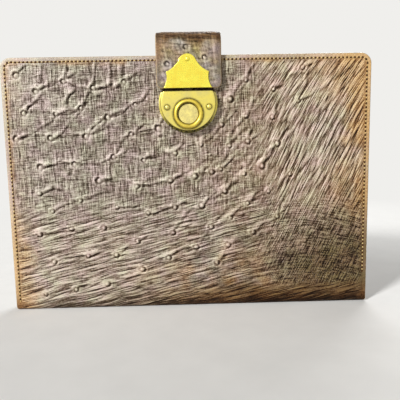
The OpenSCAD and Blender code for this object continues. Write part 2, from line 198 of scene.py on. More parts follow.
# Quill marks of the front, row by row from the top: places across and down the frame, read off one by
# one
FRONT_QUILLS = (
    (15.8, 75.6), (64, 81.5), (93.6, 87.4), (124, 82.5), (245.9, 79.5), (302, 66.7),
    (36.4, 91.4), (81.7, 108.1), (134.8, 104.6), (230.3, 98.7), (273.5, 89.4), (298.1, 100.2),
    (23.6, 114), (56.1, 114), (108.3, 118), (158.4, 128.3), (221.4, 124.3), (246.1, 116.4),
    (271.5, 117), (16.7, 138.6), (50.8, 138.6), (86.7, 136.1), (131.8, 134.2), (200.8, 145),
    (229.3, 145), (248, 141.1), (277.4, 143.6), (40.4, 168.3), (74.8, 164.4), (113.3, 157.5),
    (144.5, 159.8), (175.2, 152.9), (220.5, 168.6), (261.7, 165.4), (290.2, 174.2), (40.4, 193.9),
    (99.5, 181.1), (136.7, 186), (170.2, 181.1), (194.8, 176.5), (211.6, 171.6), (244.1, 173.6),
    (267.6, 191), (53.2, 211.7), (80.8, 200.8), (117.2, 207.7), (148.6, 212.6), (175.2, 207.7),
    (201.7, 204.8), (224.4, 191), (248, 202.8), (39.4, 234.3), (71.9, 228.4), (103.4, 228.4),
    (137.7, 240.2), (173.2, 232.3), (211.6, 226.4), (230.3, 217.6), (277.4, 216.6), (55.1, 261.4),
    (88.6, 255.5), (116.2, 255.5), (169.2, 257.5), (196.8, 247.1), (228.3, 244.2), (252.8, 231.3),
    (305, 240.2), (46.3, 293.9), (76.8, 289), (108.3, 284.1), (142.7, 269.3), (216.5, 262.4),
)

# Quill marks of the strap: places across and up the front
STRAP_QUILLS = ((-1, 200), (-15, 188), (13, 192))

# Strong tucks of the front, most of them from a quill to the edge: their ends and least strength
LONG_TUCKS = (
    ((-93, 177), (-91, 193), 1.3),
    ((-92, 160), (-84, 172), 1.2),
    ((-71, 172), (-67, 193), 1.3),
    ((-81, 157), (-71, 176), 1.2),
    ((-100, 153), (-81, 157), 1.2),
    ((-124, 154), (-110, 167), 1.1),
    ((-61, 150), (-44, 158), 1.2),
    ((-78, 136), (-61, 150), 1.2),
    ((-48, 176), (-47, 193), 1.0),
    ((-112, 176), (-110, 192), 0.8),
    ((-58, 174), (-57, 192), 0.8),
    ((65, 169), (87, 185), 1.2),
    ((84, 160), (125, 187), 1.2),
    ((87, 185), (112, 191), 0.8),
)

# Lean of the long wrinkles on the right of the front, and how far it turns over near the top
FAN_LEAN = 64
FAN_TURN = 11


# Numbers and noise

def smooth(low, high, value):
    """Rises from 0 at low to 1 at high, or falls where high is the smaller."""
    t = np.clip((value - low) / (high - low), 0, 1)
    return t * t * (3 - 2 * t)


def bell(value, width):
    """1 at 0, falling away on both sides over about that width."""
    return np.exp(-((value / width) ** 2))


def circle(count):
    """Angles all the way round, in that many steps."""
    return np.arange(count) * TURN / count


def lattice_angle(i, j, seed):
    n = (i * 374761393 + j * 668265263 + seed * 974634777) & 0xFFFFFFFF
    n = ((n ^ (n >> 13)) * 1274126177) & 0xFFFFFFFF
    return ((n ^ (n >> 16)) & 0xFFFF) * (TURN / 65536)


def noise(x, z, size, seed):
    """Smooth noise from about -0.7 to 0.7, with features of that size."""
    u = x / size
    v = z / size
    i = np.floor(u).astype(np.int64)
    j = np.floor(v).astype(np.int64)
    fu = u - i
    fv = v - j

    def corner(di, dj):
        a = lattice_angle(i + di, j + dj, seed)
        return np.cos(a) * (fu - di) + np.sin(a) * (fv - dj)

    su = fu ** 3 * (fu * (fu * 6 - 15) + 10)
    sv = fv ** 3 * (fv * (fv * 6 - 15) + 10)
    low = corner(0, 0) * (1 - su) + corner(1, 0) * su
    high = corner(0, 1) * (1 - su) + corner(1, 1) * su
    return low * (1 - sv) + high * sv


def folds(along, across, spacing, run, seed, sway=4.0):
    """Plump folds between sharp creases: 0 in a crease, about 1 on a fold."""
    sway = sway * noise(along, across, 34, seed + 50)
    n = noise(along / run, (across + sway) / spacing, 1, seed)
    return np.clip(2.4 * np.abs(n), 0, 1) ** 0.75


def turned(x, z, lean):
    """Coordinates along and across a direction that leans up from the X axis."""
    a = math.radians(lean)
    return x * math.cos(a) + z * math.sin(a), z * math.cos(a) - x * math.sin(a)


def blur(field, cells):
    """Mean over a square of cells on the grid, twice, for a soft result."""
    for axis in (0, 1, 0, 1):
        pad = [(0, 0), (0, 0)]
        pad[axis] = (cells, cells)
        wide = np.pad(field, pad, mode="edge")
        total = np.zeros_like(field)
        size = field.shape[axis]
        for k in range(2 * cells + 1):
            total += np.take(wide, range(k, k + size), axis=axis)
        field = total / (2 * cells + 1)
    return field


# Places in the photograph

def camera_axes():
    """Directions to the right of the camera, up and ahead."""
    flat = math.cos(PITCH)
    ahead = np.array([math.sin(YAW) * flat, math.cos(YAW) * flat, math.sin(PITCH)])
    level = np.array([math.cos(YAW), -math.sin(YAW), 0.0])
    up = np.cross(level, ahead)
    right = math.cos(ROLL) * level + math.sin(ROLL) * up
    top = math.cos(ROLL) * up - math.sin(ROLL) * level
    return right, top, ahead


def on_front(across, down):
    """The place on the front, to a whole millimetre, that lies at a place in the frame."""
    right, top, ahead = camera_axes()
    pixel = SENSOR / LENS / FRAME
    ray = ahead + pixel * ((across - FRAME / 2) * right - (down - FRAME / 2) * top)
    place = CAMERA_AT + ray * (-CASE_Y - CAMERA_AT[1]) / ray[1]
    return round(place[0]), round(place[2])


# Leather relief

def gather_lean(x, z):
    """Lean of the gathers of skin at a place: flat low on the left, and steep on the right."""
    lean = 14 + 16 * smooth(-80, 0, x) + 22 * smooth(0, 80, x) + 16 * smooth(70, 150, z)
    return min(60, float(lean))


def tuck_lines(marks):
    """Tucks that join neighbouring quills, up to the right or level: their ends and least strength."""
    lines = []
    for ax, az in marks:
        rising = []
        level = []
        for bx, bz in marks:
            reach = math.hypot(bx - ax, bz - az)
            lean = math.degrees(math.atan2(bz - az, bx - ax))
            stray = abs(lean - gather_lean(ax, az))
            if 9 < reach < 38 and stray < 25:
                rising.append((reach + 0.5 * stray, (bx, bz)))
            if 12 < reach < 32 and -14 < lean < 16 and ax < -15 and az > 90:
                level.append((reach, (bx, bz)))
        lines += [((ax, az), min(found)[1], 0.5) for found in (rising, level) if found]
    return lines


def quill_tails(marks, seed):
    """Short gathers that run up to the right from each quill: their ends and least strength."""
    rng = np.random.RandomState(seed)
    tails = []
    for qx, qz in marks:
        a = math.radians(gather_lean(qx, qz) + rng.uniform(-12, 12))
        length = rng.uniform(10, 21)
        tails.append(((qx, qz), (qx + length * math.cos(a), qz + length * math.sin(a)), 0.55))
    return tails


def tuck_relief(x, z, lines, seed):
    """Height and tone of the gathers: a thin bowed crease under a ridge, strongest at the quills. The
    tone paints shade in the crease and light on the ridges.
    """
    rng = np.random.RandomState(seed)
    wx = x + 2.6 * noise(x, z, 12, seed + 3) + 0.9 * noise(x, z, 4.5, seed + 5)
    wz = z + 2.6 * noise(x, z, 12, seed + 4) + 0.9 * noise(x, z, 4.5, seed + 6)
    height = np.zeros_like(x)
    tone = np.zeros_like(x)
    for (ax, az), (bx, bz), least in lines:
        length = math.hypot(bx - ax, bz - az)
        ux = (bx - ax) / length
        uz = (bz - az) / length
        along = (wx - ax) * ux + (wz - az) * uz
        share = np.clip(along / length, 0, 1)
        bow = rng.uniform(-0.45, 0.45) * length * share * (1 - share)
        across = (wz - az) * ux - (wx - ax) * uz - bow
        reach = smooth(-2, 3, along) * smooth(length + 2, length - 5, along)
        ends = bell(along, 7) + bell(length - along, 7)
        patchy = np.clip(0.8 + 0.9 * noise(along, across, 5, seed + 9), 0.3, 1.2)
        strength = rng.uniform(least, 1.0) * reach * np.clip(0.4 + 0.7 * ends, 0, 1) * patchy
        crease = bell(across + 0.4, 0.6 + 0.4 * ends)
        above = bell(across - 1.5, 1.1 + 0.4 * ends)
        below = bell(across + 2.4, 1.4)
        height += strength * (0.95 * above + 0.25 * below - 0.65 * crease)
        # Painted shade in the crease and painted light on the ridges
        tone += strength * (0.4 * above + 0.1 * below - 0.6 * crease)
    return height, np.clip(tone, -0.65, 0.45)


def dark_above(qx, qz):
    """Whether a quill is open on its lower side: those on the upper left and on the strap. Its dark
    crescent, a groove with painted shade in it, then lies on its upper left.
    """
    return qz > 186 or (qx < -20 and qz > 100)


def quill_relief(x, z, marks, seed):
    """Height and tone of the quill marks, a nub in a dark crescent and a lip, and how near one lies. The
    tone paints a highlight on the nub and the lip and shade in the crescent.
    """
    rng = np.random.RandomState(seed)
    wx = x + 0.6 * noise(x, z, 2.4, seed + 7)
    wz = z + 0.6 * noise(x, z, 2.4, seed + 8)
    height = np.zeros_like(x)
    tone = np.zeros_like(x)
    near = np.zeros_like(x)
    for qx, qz in marks:
        lean = rng.uniform(-75, -10) + (0 if dark_above(qx, qz) else 180)
        size = rng.uniform(0.85, 1.25)
        closed = rng.uniform(0.0, 0.25)
        along, across = turned(wx - qx, wz - qz, lean)
        r = np.hypot(along, 1.15 * across) / size
        side = along / (size * np.maximum(r, 0.3))
        mound = bell(r, 3.8)
        nub = bell(r, 1.2)
        crescent = np.clip(0.35 - 0.65 * side, 0, 1) + closed * np.clip(side, 0, 1)
        ring = bell(r - 1.95, 0.68) * crescent
        lip = bell(r - 3.3, 0.85) * (0.35 + 0.65 * np.abs(side))
        height += size * (0.5 * mound + 0.7 * nub - 0.8 * ring + 0.4 * lip)
        # Painted highlight on the nub and the lip, painted shade in the crescent
        tone += 0.6 * nub - 0.85 * ring + 0.28 * lip
        near += bell(r, 3.2)
    return height, np.clip(tone, -0.8, 0.6), np.clip(near, 0, 1)


def fan_place(x, z):
    """Places along and across the steep wrinkles on the right, which lean over near the top."""
    heights = np.linspace(-10, 200, 211)
    lean = np.radians(FAN_LEAN - FAN_TURN * smooth(135, 190, heights))
    shift = np.concatenate([[0], np.cumsum(1 / np.tan(lean[:-1]))])
    steep = math.sin(math.radians(FAN_LEAN))
    return z / steep, (x - np.interp(z, heights, shift)) * steep


def cross_place(x, z):
    """Places along and across the wrinkles low on the right, which rise and then fall away."""
    return x, z - 0.30 * x + 0.0034 * np.clip(x - 40, 0, None) ** 2


def front_parts(x, z):
    """How far each kind of wrinkle holds at a place: cross-hatched, level, fanned out and crossing."""
    stray = 14 * noise(x, z, 38, 21)
    right = smooth(38, 78, x + stray)
    low = smooth(98, 62, z + stray)
    hem = smooth(22, 11, z)
    return {
        "hatch": (1 - right) * (1 - 0.72 * low) * (1 - hem),
        "rise": np.maximum((1 - right) * (0.15 + 0.85 * low), hem * right),
        "fan": right * (1 - 0.75 * low) * (1 - hem),
        "cross": right * low * (1 - hem),
    }


def hatching(x, z, seed):
    """Upright folds crossed by lighter level ones."""
    return 0.65 * folds(z, x, 3.6, 11, seed, 2.0) + 0.35 * folds(x, z, 2.8, 12, seed + 1, 2.0)


def front_folds(x, z, parts):
    """Larger wrinkles of the front, of each kind where it holds, and slanting ones in the middle."""
    rise = folds(*turned(x, z, 13), 2.7, 26, 33, 3.0)
    slant = folds(*turned(x, z, 40), 6.5, 48, 34)
    fan = folds(*fan_place(x, z), 2.7, 20, 35, 2.0)
    cross = 0.6 * folds(*turned(x, z, 20), 3.6, 18, 36) + 0.4 * folds(*turned(x, z, 68), 3.6, 12, 37)
    total = 0.13 * parts["hatch"] * hatching(x, z, 31) + 0.27 * parts["rise"] * rise
    total += 0.32 * parts["fan"] * fan + 0.18 * parts["cross"] * cross
    return total + 0.15 * bell(x - 30, 46) * bell(z - 105, 52) * (slant - 0.4)


def back_parts(x, z):
    stray = 16 * noise(x, z, 45, 61)
    side = smooth(-30, -85, x + stray)
    low = smooth(80, 40, z + stray)
    return {
        "hatch": (1 - side) * (1 - 0.7 * low),
        "rise": (1 - side) * (0.15 + 0.85 * low),
        "fan": side * (1 - 0.6 * low),
        "cross": side * low,
    }


def back_folds(x, z, parts):
    """The calmer back: cross-hatching that turns into long slanting wrinkles on one side."""
    rise = folds(*turned(x, z, 8), 3.2, 30, 74, 3.0)
    fan = folds(*fan_place(-x, z), 3.0, 20, 73, 2.0)
    cross = folds(*turned(x, z, 160), 3.6, 18, 75)
    total = 0.15 * parts["hatch"] * hatching(x, z, 71) + 0.26 * parts["rise"] * rise
    return total + 0.31 * parts["fan"] * fan + 0.2 * parts["cross"] * cross


def back_quills():
    """Staggered rows of quill marks for the back, clear of the edges and of the strap."""
    rng = np.random.RandomState(8)
    marks = []
    for row in range(9):
        for column in range(-6, 7):
            mx = 22 * column + 11 * (row % 2) + rng.uniform(-6, 6)
            mz = 14 + 20 * row + 0.12 * mx + rng.uniform(-5, 5)
            under_strap = abs(mx) < STRAP_HALF + 5 and mz > STRAP_LOW - 6
            if abs(mx) < 128 and 10 < mz < 184 and not under_strap and rng.uniform() < 0.82:
                marks.append((mx, mz))
    return marks


def hide_height(x, z, edge, marks, lines, wrinkle, seed):
    """Height of the leather above its flat face, its relief, and how near a quill lies."""
    calm = smooth(2.6, 8, edge) * smooth(-1, 9, z)
    bumps, quill_tone, near = quill_relief(x, z, marks, seed)
    tucks, tuck_tone = tuck_relief(x, z, lines, seed)
    tucks = tucks * (1 - near)
    tuck_tone = tuck_tone * (1 - near)
    swell = 0.45 * noise(x, z, 46, seed + 11) + 0.2 * noise(x, z, 17, seed + 12)
    swell *= smooth(0, 12, z) * smooth(0, 9, edge)
    groove = 0.2 * bell(edge - STITCH_IN, 1.1) * smooth(4, 9, z)
    fine = 0.04 * noise(x, z, 1.6, seed + 13) * smooth(0, 5, z)
    folded = calm * wrinkle + fine
    rim = 0.2 * smooth(5.5, 2.6, edge) * smooth(10, 30, z)
    # The relief, with the tones of the tucks and quills, paints shade in creases and light on ridges
    relief = relief_of(folded) + calm * (tuck_tone + quill_tone) + rim
    return folded + calm * (tucks + bumps) + swell - groove, np.clip(relief, 0, 1), near


def relief_of(height):
    """Height against the leather round about, from 0 in a deep crease to 1 on a sharp ridge."""
    return np.clip(0.5 + 2.9 * (height - blur(height, 2)), 0, 1)


# Meshes

def mesh_object(name, parts, fields=None, sharp=42):
    """One object from parts of points and faces, with the fields kept on its points."""
    parts = [(np.asarray(p, float).reshape(-1, 3), f) for p, f in parts]
    points = np.concatenate([p for p, f in parts])
    faces = []
    start = 0
    for p, f in parts:
        faces += [[start + int(k) for k in face] for face in f]
        start += len(p)
    mesh = bpy.data.meshes.new(name)
    mesh.from_pydata((points * MM).tolist(), [], faces)
    for key, values in (fields or {}).items():
        vector = np.ndim(values) == 2
        attribute = mesh.attributes.new(key, "FLOAT_VECTOR" if vector else "FLOAT", "POINT")
        attribute.data.foreach_set("vector" if vector else "value", np.ravel(values).astype(np.float32))
    work = bmesh.new()
    work.from_mesh(mesh)
    bmesh.ops.recalc_face_normals(work, faces=work.faces[:])
    work.to_mesh(mesh)
    work.free()
    mesh.polygons.foreach_set("use_smooth", [True] * len(mesh.polygons))
    mesh.set_sharp_from_angle(angle=math.radians(sharp))
    mesh.update()
    made = bpy.data.objects.new(name, mesh)
    bpy.context.scene.collection.objects.link(made)
    return made


def finish_piece(piece, material, slot, settle, *replaced):
    """Dresses a piece. settle is the body that it rides on, or a function that is called on it."""
    piece.data.materials.append(material)
    if callable(settle):
        settle(piece)
    else:
        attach(piece, settle)
    if replaced:
        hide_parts(*replaced)
    return piece


def ring_faces(rings, count, closed):
    """Faces between rings of points, and from the last ring to the first if closed."""
    faces = []
    last = rings if closed else rings - 1
    for i in range(last):
        j = (i + 1) % rings
        for k in range(count):
            m = (k + 1) % count
            faces.append((i * count + k, i * count + m, j * count + m, j * count + k))
    return faces


def tube_faces(rings, count):
    """Faces between rings of points, with both ends capped."""
    ends = [list(range(count)), list(range((rings - 1) * count, rings * count))]
    return ring_faces(rings, count, False) + ends


def spaced(low, high, step, low_edge, high_edge):
    """Even steps from low to high, with finer ones at an end that is rounded off."""
    points = set(np.linspace(low, high, int(round((high - low) / step)) + 1))
    if low_edge:
        points |= {low + e for e in EDGE_STEPS}
    if high_edge:
        points |= {high - e for e in EDGE_STEPS}
    return np.array(sorted(points))


def round_corners(x, t, half_w, low, high, r_low, r_high):
    """Bends the square corners of a grid into round ones, keeping distances to the edge."""
    x = x.copy()
    t = t.copy()
    for end, sign, r in ((low, -1, r_low), (high, 1, r_high)):
        if r == 0:
            continue
        u = (np.abs(x) - (half_w - r)) / r
        v = (sign * (t - end) + r) / r
        inside = (u > 1e-9) & (v > 1e-9)
        far = np.where(inside, np.maximum(u, v), 1)
        near = np.where(inside, np.minimum(u, v), 0)
        angle = math.pi / 4 * near / far
        angle = np.where(u >= v, angle, math.pi / 2 - angle)
        x = np.where(inside, np.sign(x) * (half_w - r + r * far * np.cos(angle)), x)
        t = np.where(inside, end - sign * r + sign * r * far * np.sin(angle), t)
    return x, t


class Shell:
    """A closed sheet of leather: a fine grid outside, a rim, and long strips inside."""

    def __init__(
        self, place, half_w, low, high, thick, r_low=0, r_high=0, open_low=False, edge_r=0.7, step=STEP
    ):
        xs = spaced(-half_w, half_w, step, True, True)
        ts = spaced(low, high, step, not open_low, True)
        gx, gt = np.meshgrid(xs, ts)
        self.edge = np.minimum(half_w - np.abs(gx), high - gt)
        if not open_low:
            self.edge = np.minimum(self.edge, gt - low)
        self.x, self.t = round_corners(gx, gt, half_w, low, high, r_low, r_high)
        self.place = place
        self.thick = thick
        short = np.clip(edge_r - self.edge, 0, edge_r)
        self.drop = edge_r - np.sqrt(edge_r ** 2 - short ** 2)
        self.height = np.zeros_like(self.x)
        self.ring = np.ones(self.x.shape, bool)
        self.ring[1:-1, 1:-1] = False

    def faces(self):
        rows, columns = self.x.shape
        index = np.arange(rows * columns).reshape(rows, columns)
        corners = (index[:-1, :-1], index[:-1, 1:], index[1:, 1:], index[1:, :-1])
        outer = np.stack(corners, axis=-1).reshape(-1, 4)
        inner = np.full((rows, columns), -1)
        inner[self.ring] = rows * columns + np.arange(self.ring.sum())
        rim = []
        for edge in (np.s_[0, :], np.s_[-1, :], np.s_[:, 0], np.s_[:, -1]):
            top = index[edge]
            under = inner[edge]
            rim += [(top[k], top[k + 1], under[k + 1], under[k]) for k in range(len(top) - 1)]
        left = inner[:, 0]
        right = inner[:, -1]
        ladder = [(left[i], right[i], right[i + 1], left[i + 1]) for i in range(1, rows - 2)]
        ends = [
            [left[1], right[1], *inner[0, ::-1]],
            [right[rows - 2], left[rows - 2], *inner[-1, :]],
        ]
        return outer.tolist() + rim + ladder + ends

    def build(self, name, fields):
        """The object, with each field given on the grid and its value inside the sheet."""
        rim_x = self.x[self.ring]
        rim_t = self.t[self.ring]
        outer = self.place(self.x, self.t, self.height - self.drop)
        under = self.place(rim_x, rim_t, np.full(len(rim_x), -self.thick))
        points = np.concatenate([outer.reshape(-1, 3), under])
        kept = {}
        for key, (grid, inside) in fields.items():
            kept[key] = np.concatenate([np.ravel(grid), np.full(len(rim_x), inside)])
        flat = np.stack([self.x, self.t, np.zeros_like(self.x)], axis=-1).reshape(-1, 3)
        flat_in = np.stack([rim_x, rim_t, np.full(len(rim_x), REST_IN)], axis=-1)
        kept["rest"] = np.concatenate([flat, flat_in])
        return mesh_object(name, [(points, self.faces())], kept)


def front_place(x, t, out):
    """Down the front face, round the bottom fold and in to the middle of the bottom."""
    below = np.clip(FOLD_R - t, 0, None)
    bend = np.clip(below / FOLD_R, 0, math.pi / 2)
    flat = np.clip(below - FOLD_R * math.pi / 2, 0, None)
    ny = -np.cos(bend)
    nz = -np.sin(bend)
    y = -(CASE_Y - FOLD_R) + FOLD_R * ny + flat
    z = np.maximum(t, FOLD_R) + FOLD_R * nz
    return np.stack([x, y + out * ny, z + out * nz], axis=-1)


def back_place(x, t, out):
    return front_place(x, t, out) * np.array([1.0, -1.0, 1.0])


def strap_place(x, t, out):
    """Up the back, over the arch and down the front. t is 0 at the sewn end."""
    rise = ARCH_Z - STRAP_LOW
    turn = np.clip((t - rise) / ARCH_R, 0, math.pi)
    past = np.clip(t - rise - ARCH_R * math.pi, 0, None)
    ny = np.cos(turn)
    nz = np.sin(turn)
    y = ARCH_Y + ARCH_R * ny
    z = np.minimum(STRAP_LOW + t, ARCH_Z) + ARCH_R * nz - past
    return np.stack([x + STRAP_OFF, y + out * ny, z + out * nz], axis=-1)


def hide_fields(shell, relief, near, warm, shade, wear, parts, fan, cross):
    """What the leather's material reads at each point, with the value inside the sheet."""
    calm = smooth(2.2, 7, shell.edge) * (1 - 0.85 * near)
    fields = {
        "relief": (relief, 0.5),
        "warm": (np.clip(warm, 0, 1), 0.5),
        "shade": (np.clip(shade, 0, 1), 0),
        "wear": (np.clip(wear, 0, 1), 0),
        "cut": (smooth(0.75, 0.0, shell.edge), 1.0),
        "fan_along": (fan[0], 0),
        "fan_across": (fan[1], 0),
        "cross_along": (cross[0], 0),
        "cross_across": (cross[1], 0),
    }
    for key, share in parts.items():
        fields[key] = (share * calm, 0)
    return fields


def panel(place):
    return Shell(place, HALF_W, FOLD_LOW, CASE_H, LEATHER_T, r_high=CORNER_R, open_low=True)


def patches(x, z, size, fine, seed):
    """Two sizes of noise, which break up the edges of stained and worn places."""
    return noise(x, z, size, seed) + 0.5 * noise(x, z, fine, seed + 1)


def front_shade(x, z, patch, tips):
    """Dark places: low on the right, and along the bottom."""
    corner = smooth(10, 100, x) * smooth(96, 28, z - 14 * smooth(95, 130, x) + 18 * patch)
    low = smooth(24, 9, z + 6 * patch) * smooth(-110, 70, x)
    return np.maximum(corner, low) * (1 - 0.8 * tips)


def front_wear(x, z, edge, patch, tips):
    """Golden worn places: both sides, the upper right corner, the bottom, and spots on the face."""
    side = smooth(113, 138, x + 18 * patch) * smooth(50, 84, z)
    corner = smooth(66, 10, np.hypot(HALF_W - x, (CASE_H - z) * 1.25) + 18 * patch)
    left = smooth(-116, -138, x - 12 * patch) * (0.15 + 0.7 * smooth(105, 45, z))
    strip = smooth(22, 6, z + 7 * patch) * smooth(-70, 35, x) * (1 - 0.2 * smooth(60, 110, x))
    spot = 0.6 * bell(x - 119, 12) * bell(z - 95, 22)
    glow = 0.9 * bell(x - 26, 56) * bell(z - 16, 25) * smooth(-0.35, 0.35, patch)
    band = 0.7 * bell(edge - 4.2, 2.4) * smooth(-0.35, 0.3, patch) * smooth(20, 60, z)
    return np.maximum.reduce([side, corner, left, strip, spot, glow, band, tips])


def front_tone(x, z, low_left, pale):
    """How much paler or darker than its relief alone each place of the front is."""
    # by_hasp marks the leather behind the hasp, seen through the gap under it, which gets painted shade
    by_hasp = smooth(HASP_HALF + 2, HASP_HALF, np.abs(x)) * smooth(166, 168, z) * smooth(174, 171, z)
    upper_left = smooth(90, 140, z) * smooth(20, -60, x)
    far_left = smooth(-100, -126, x) * (1 + smooth(30, 12, z))
    high_ends = smooth(140, 170, z) * smooth(70, 115, np.abs(x))
    low_right = smooth(16, 6, z) * smooth(40, 90, x)
    tone = 0.05 * (low_left + far_left) - 0.025 * upper_left + 0.03 * smooth(40, 90, x)
    # Darker towards the bottom edge, most on the right: painted shade on the fold as it turns under
    tone += 0.06 * (high_ends + pale) - 0.1 * low_right - 0.3 * smooth(11, 3, z)
    # Painted shade on the leather seen through the gap under the hasp
    return tone - 0.55 * by_hasp


def front_hide():
    shell = panel(front_place)
    x = shell.x
    z = shell.t
    marks = [on_front(across, down) for across, down in FRONT_QUILLS]
    lines = tuck_lines(marks) + quill_tails(marks, 6) + list(LONG_TUCKS)
    parts = front_parts(x, z)
    wrinkle = front_folds(x, z, parts)
    shell.height, relief, near = hide_height(x, z, shell.edge, marks, lines, wrinkle, 5)
    patch = patches(x, z, 24, 9, 41)
    low_left = smooth(100, 50, z) * smooth(10, -70, x)
    pale = bell(x - 106, 20) * bell(z - 128, 34)
    tips = bell(HALF_W - np.abs(x), 6) * bell(z, 9)
    relief = relief + front_tone(x, z, low_left, pale)
    warm = smooth(-70, 120, x + 50 * patch) + 0.4 * low_left - 0.4 * pale
    shade = front_shade(x, z, patch, tips)
    wear = front_wear(x, z, shell.edge, patch, tips)
    places = (fan_place(x, z), cross_place(x, z))
    fields = hide_fields(shell, relief, near, warm, shade, wear, parts, *places)
    return shell.build("front_hide", fields), shell


def back_hide():
    shell = panel(back_place)
    x = shell.x
    z = shell.t
    marks = back_quills()
    lines = tuck_lines(marks) + quill_tails(marks, 10)
    parts = back_parts(x, z)
    wrinkle = back_folds(x, z, parts)
    shell.height, relief, near = hide_height(x, z, shell.edge, marks, lines, wrinkle, 9)
    pressed = smooth(STRAP_HALF + 2, STRAP_HALF - 1, np.abs(x - STRAP_OFF))
    shell.height *= 1 - pressed * smooth(STRAP_LOW - 2, STRAP_LOW, z)
    patch = patches(x, z, 26, 10, 81)
    warm = smooth(110, -90, x + 60 * patch)
    shade = 0.75 * smooth(20, -70, x) * smooth(80, 25, z + 22 * patch)
    side = smooth(114, 139, np.abs(x) + 16 * patch) * smooth(5, 40, z)
    strip = smooth(20, 5, z + 8 * patch)
    rub = 0.55 * bell(x - 20, 60) * bell(z - 70, 40) * smooth(-0.2, 0.5, patch)
    band = 0.5 * smooth(9, 2, shell.edge - 4 * patch)
    wear = np.maximum.reduce([side, strip, rub, band])
    places = (fan_place(-x, z), cross_place(-x, z))
    fields = hide_fields(shell, relief, near, warm, shade, wear, parts, *places)
    return shell.build("back_hide", fields), shell


def strap():
    """The strap in one length, with its quill marks, its worn bend and the notch for the staple."""
    r = STRAP_CORNER_R
    shell = Shell(strap_place, STRAP_HALF, 0, STRAP_L, STRAP_T, r_low=r, r_high=r, edge_r=0.8)
    x = shell.x
    t = shell.t
    tip = STRAP_L - t
    notch = smooth(NOTCH_HALF + 0.9, NOTCH_HALF, np.abs(x + STRAP_OFF)) * smooth(1.5, 0, tip)
    shell.t = t - NOTCH_H * notch
    bumps, quill_tone, near = quill_relief(x + STRAP_OFF, tip + STRAP_TIP, STRAP_QUILLS, 15)
    grain = folds(x, t, 2.8, 12, 91) + folds(t, x, 2.6, 10, 92)
    bend = bell(t - (ARCH_Z - STRAP_LOW) - 0.62 * math.pi * ARCH_R, 7)
    creases = folds(x, t, 2.2, 26, 93) * bend
    calm = smooth(1.5, 5, shell.edge)
    front = smooth(34, 30, tip)
    base = calm * (0.13 * grain + 0.35 * creases)
    base += 0.25 * noise(x, t, 16, 94) * smooth(0, 6, shell.edge)
    shell.height = base + 0.62 * calm * bumps * front
    relief = np.clip(relief_of(base) + calm * quill_tone * front, 0, 1)
    patch = patches(x, t, 12, 5, 95)
    warm = 0.22 + (0.9 - 0.5 * smooth(34, 60, tip)) * patch + 0.3 * smooth(14, 28, tip)
    over = smooth(31, 40, tip + 7 * patch) * smooth(70, 56, tip)
    left = 0.7 * smooth(-14, -23, x + 5 * patch) * smooth(12, 24, tip)
    shade = smooth(31, 38, tip + 5 * patch) * smooth(70, 58, tip)
    none = np.zeros_like(x)
    parts = {"hatch": none + 0.12, "rise": bend * 0.7, "fan": none, "cross": none}
    wear = np.maximum(over, left)
    fields = hide_fields(shell, relief, near * front, warm, shade, wear, parts, (x, t), (x, t))
    return shell.build("strap", fields), shell


def polyline_place(points, axis):
    """Places a sheet on a bent line. axis is the direction that the sheet runs in, X or Z."""
    points = np.asarray(points, float)
    steps = np.diff(points, axis=0)
    reach = np.concatenate([[0], np.cumsum(np.hypot(*steps.T))])
    tangent = np.gradient(points, reach, axis=0)
    tangent /= np.linalg.norm(tangent, axis=1)[:, None]

    def place(s, t, out):
        a = np.interp(t, reach, points[:, 0]) - out * np.interp(t, reach, tangent[:, 1])
        b = np.interp(t, reach, points[:, 1]) + out * np.interp(t, reach, tangent[:, 0])
        return np.stack([s, a, b] if axis == "X" else [a, b, s], axis=-1)

    return place, reach[-1]


def rounded_line(points, rounds):
    """Cuts the corners of a bent line, again and again, until it is smooth."""
    for _ in range(rounds):
        points = np.asarray(points, float)
        cut = np.empty((2 * (len(points) - 1), 2))
        cut[0::2] = 0.75 * points[:-1] + 0.25 * points[1:]
        cut[1::2] = 0.25 * points[:-1] + 0.75 * points[1:]
        points = np.concatenate([points[:1], cut, points[-1:]])
    return points


def thin_sheet(name, place, facing, middle, half_w, length, thick, ripple, seed):
    """A thin sheet of leather with a little life in its surface. facing is 1, or -1 to turn it over."""

    def shifted(s, t, out):
        return place(s + middle, t, facing * out)

    shell = Shell(shifted, half_w, 0, length, thick, edge_r=0.25, step=2.6)
    shell.height = ripple * noise(shell.x, shell.t, 15, seed) * smooth(0, 6, shell.edge) - ripple
    relief = np.clip(0.5 + 0.5 * noise(shell.x, shell.t, 7, seed + 1), 0, 1)
    return shell.build(name, {"relief": (relief, 0.5), "cut": (smooth(0.6, 0, shell.edge), 0.4)})


def lining_sheet(name, side):
    """The lining of one panel. side is -1 for the front and 1 for the back."""
    y = side * (BOARD_Y - LINING_T)
    line = [(y, PANEL_Z), (y, LINING_TOP)]
    place, length = polyline_place(line[::-side], "X")
    return thin_sheet(name, place, -1, 0, LINING_X, length, LINING_T, 0.06, 101 + side)


def bottom_lining():
    inner = LEATHER_T + LINING_T
    half = CASE_Y - inner
    line = rounded_line([(-half, FOLD_H), (-half, inner), (half, inner), (half, FOLD_H)], 3)
    place, length = polyline_place(line, "X")
    half_w = HALF_W - MARGIN_W
    return thin_sheet("bottom_lining_sheet", place, 1, 0, half_w, length, LINING_T, 0.03, 111)


def gusset(name, side):
    """A folded side, sewn to both panels."""
    skin = GUSSET_T / 2
    inner = GUSSET_Y - skin
    line = [
        (GUSSET_OUT, -inner),
        (GUSSET_LEG - 1.2, -inner),
        (GUSSET_LEG - GUSSET_REACH, 0),
        (GUSSET_LEG - 1.2, inner),
        (GUSSET_OUT, inner),
    ]
    line = rounded_line([(side * a, b) for a, b in line], 3)
    place, length = polyline_place(line, "Z")
    half = (GUSSET_TOP - PANEL_Z) / 2
    return thin_sheet(name, place, -side, PANEL_Z + half, half, length, GUSSET_T, 0.04, 121 + side)


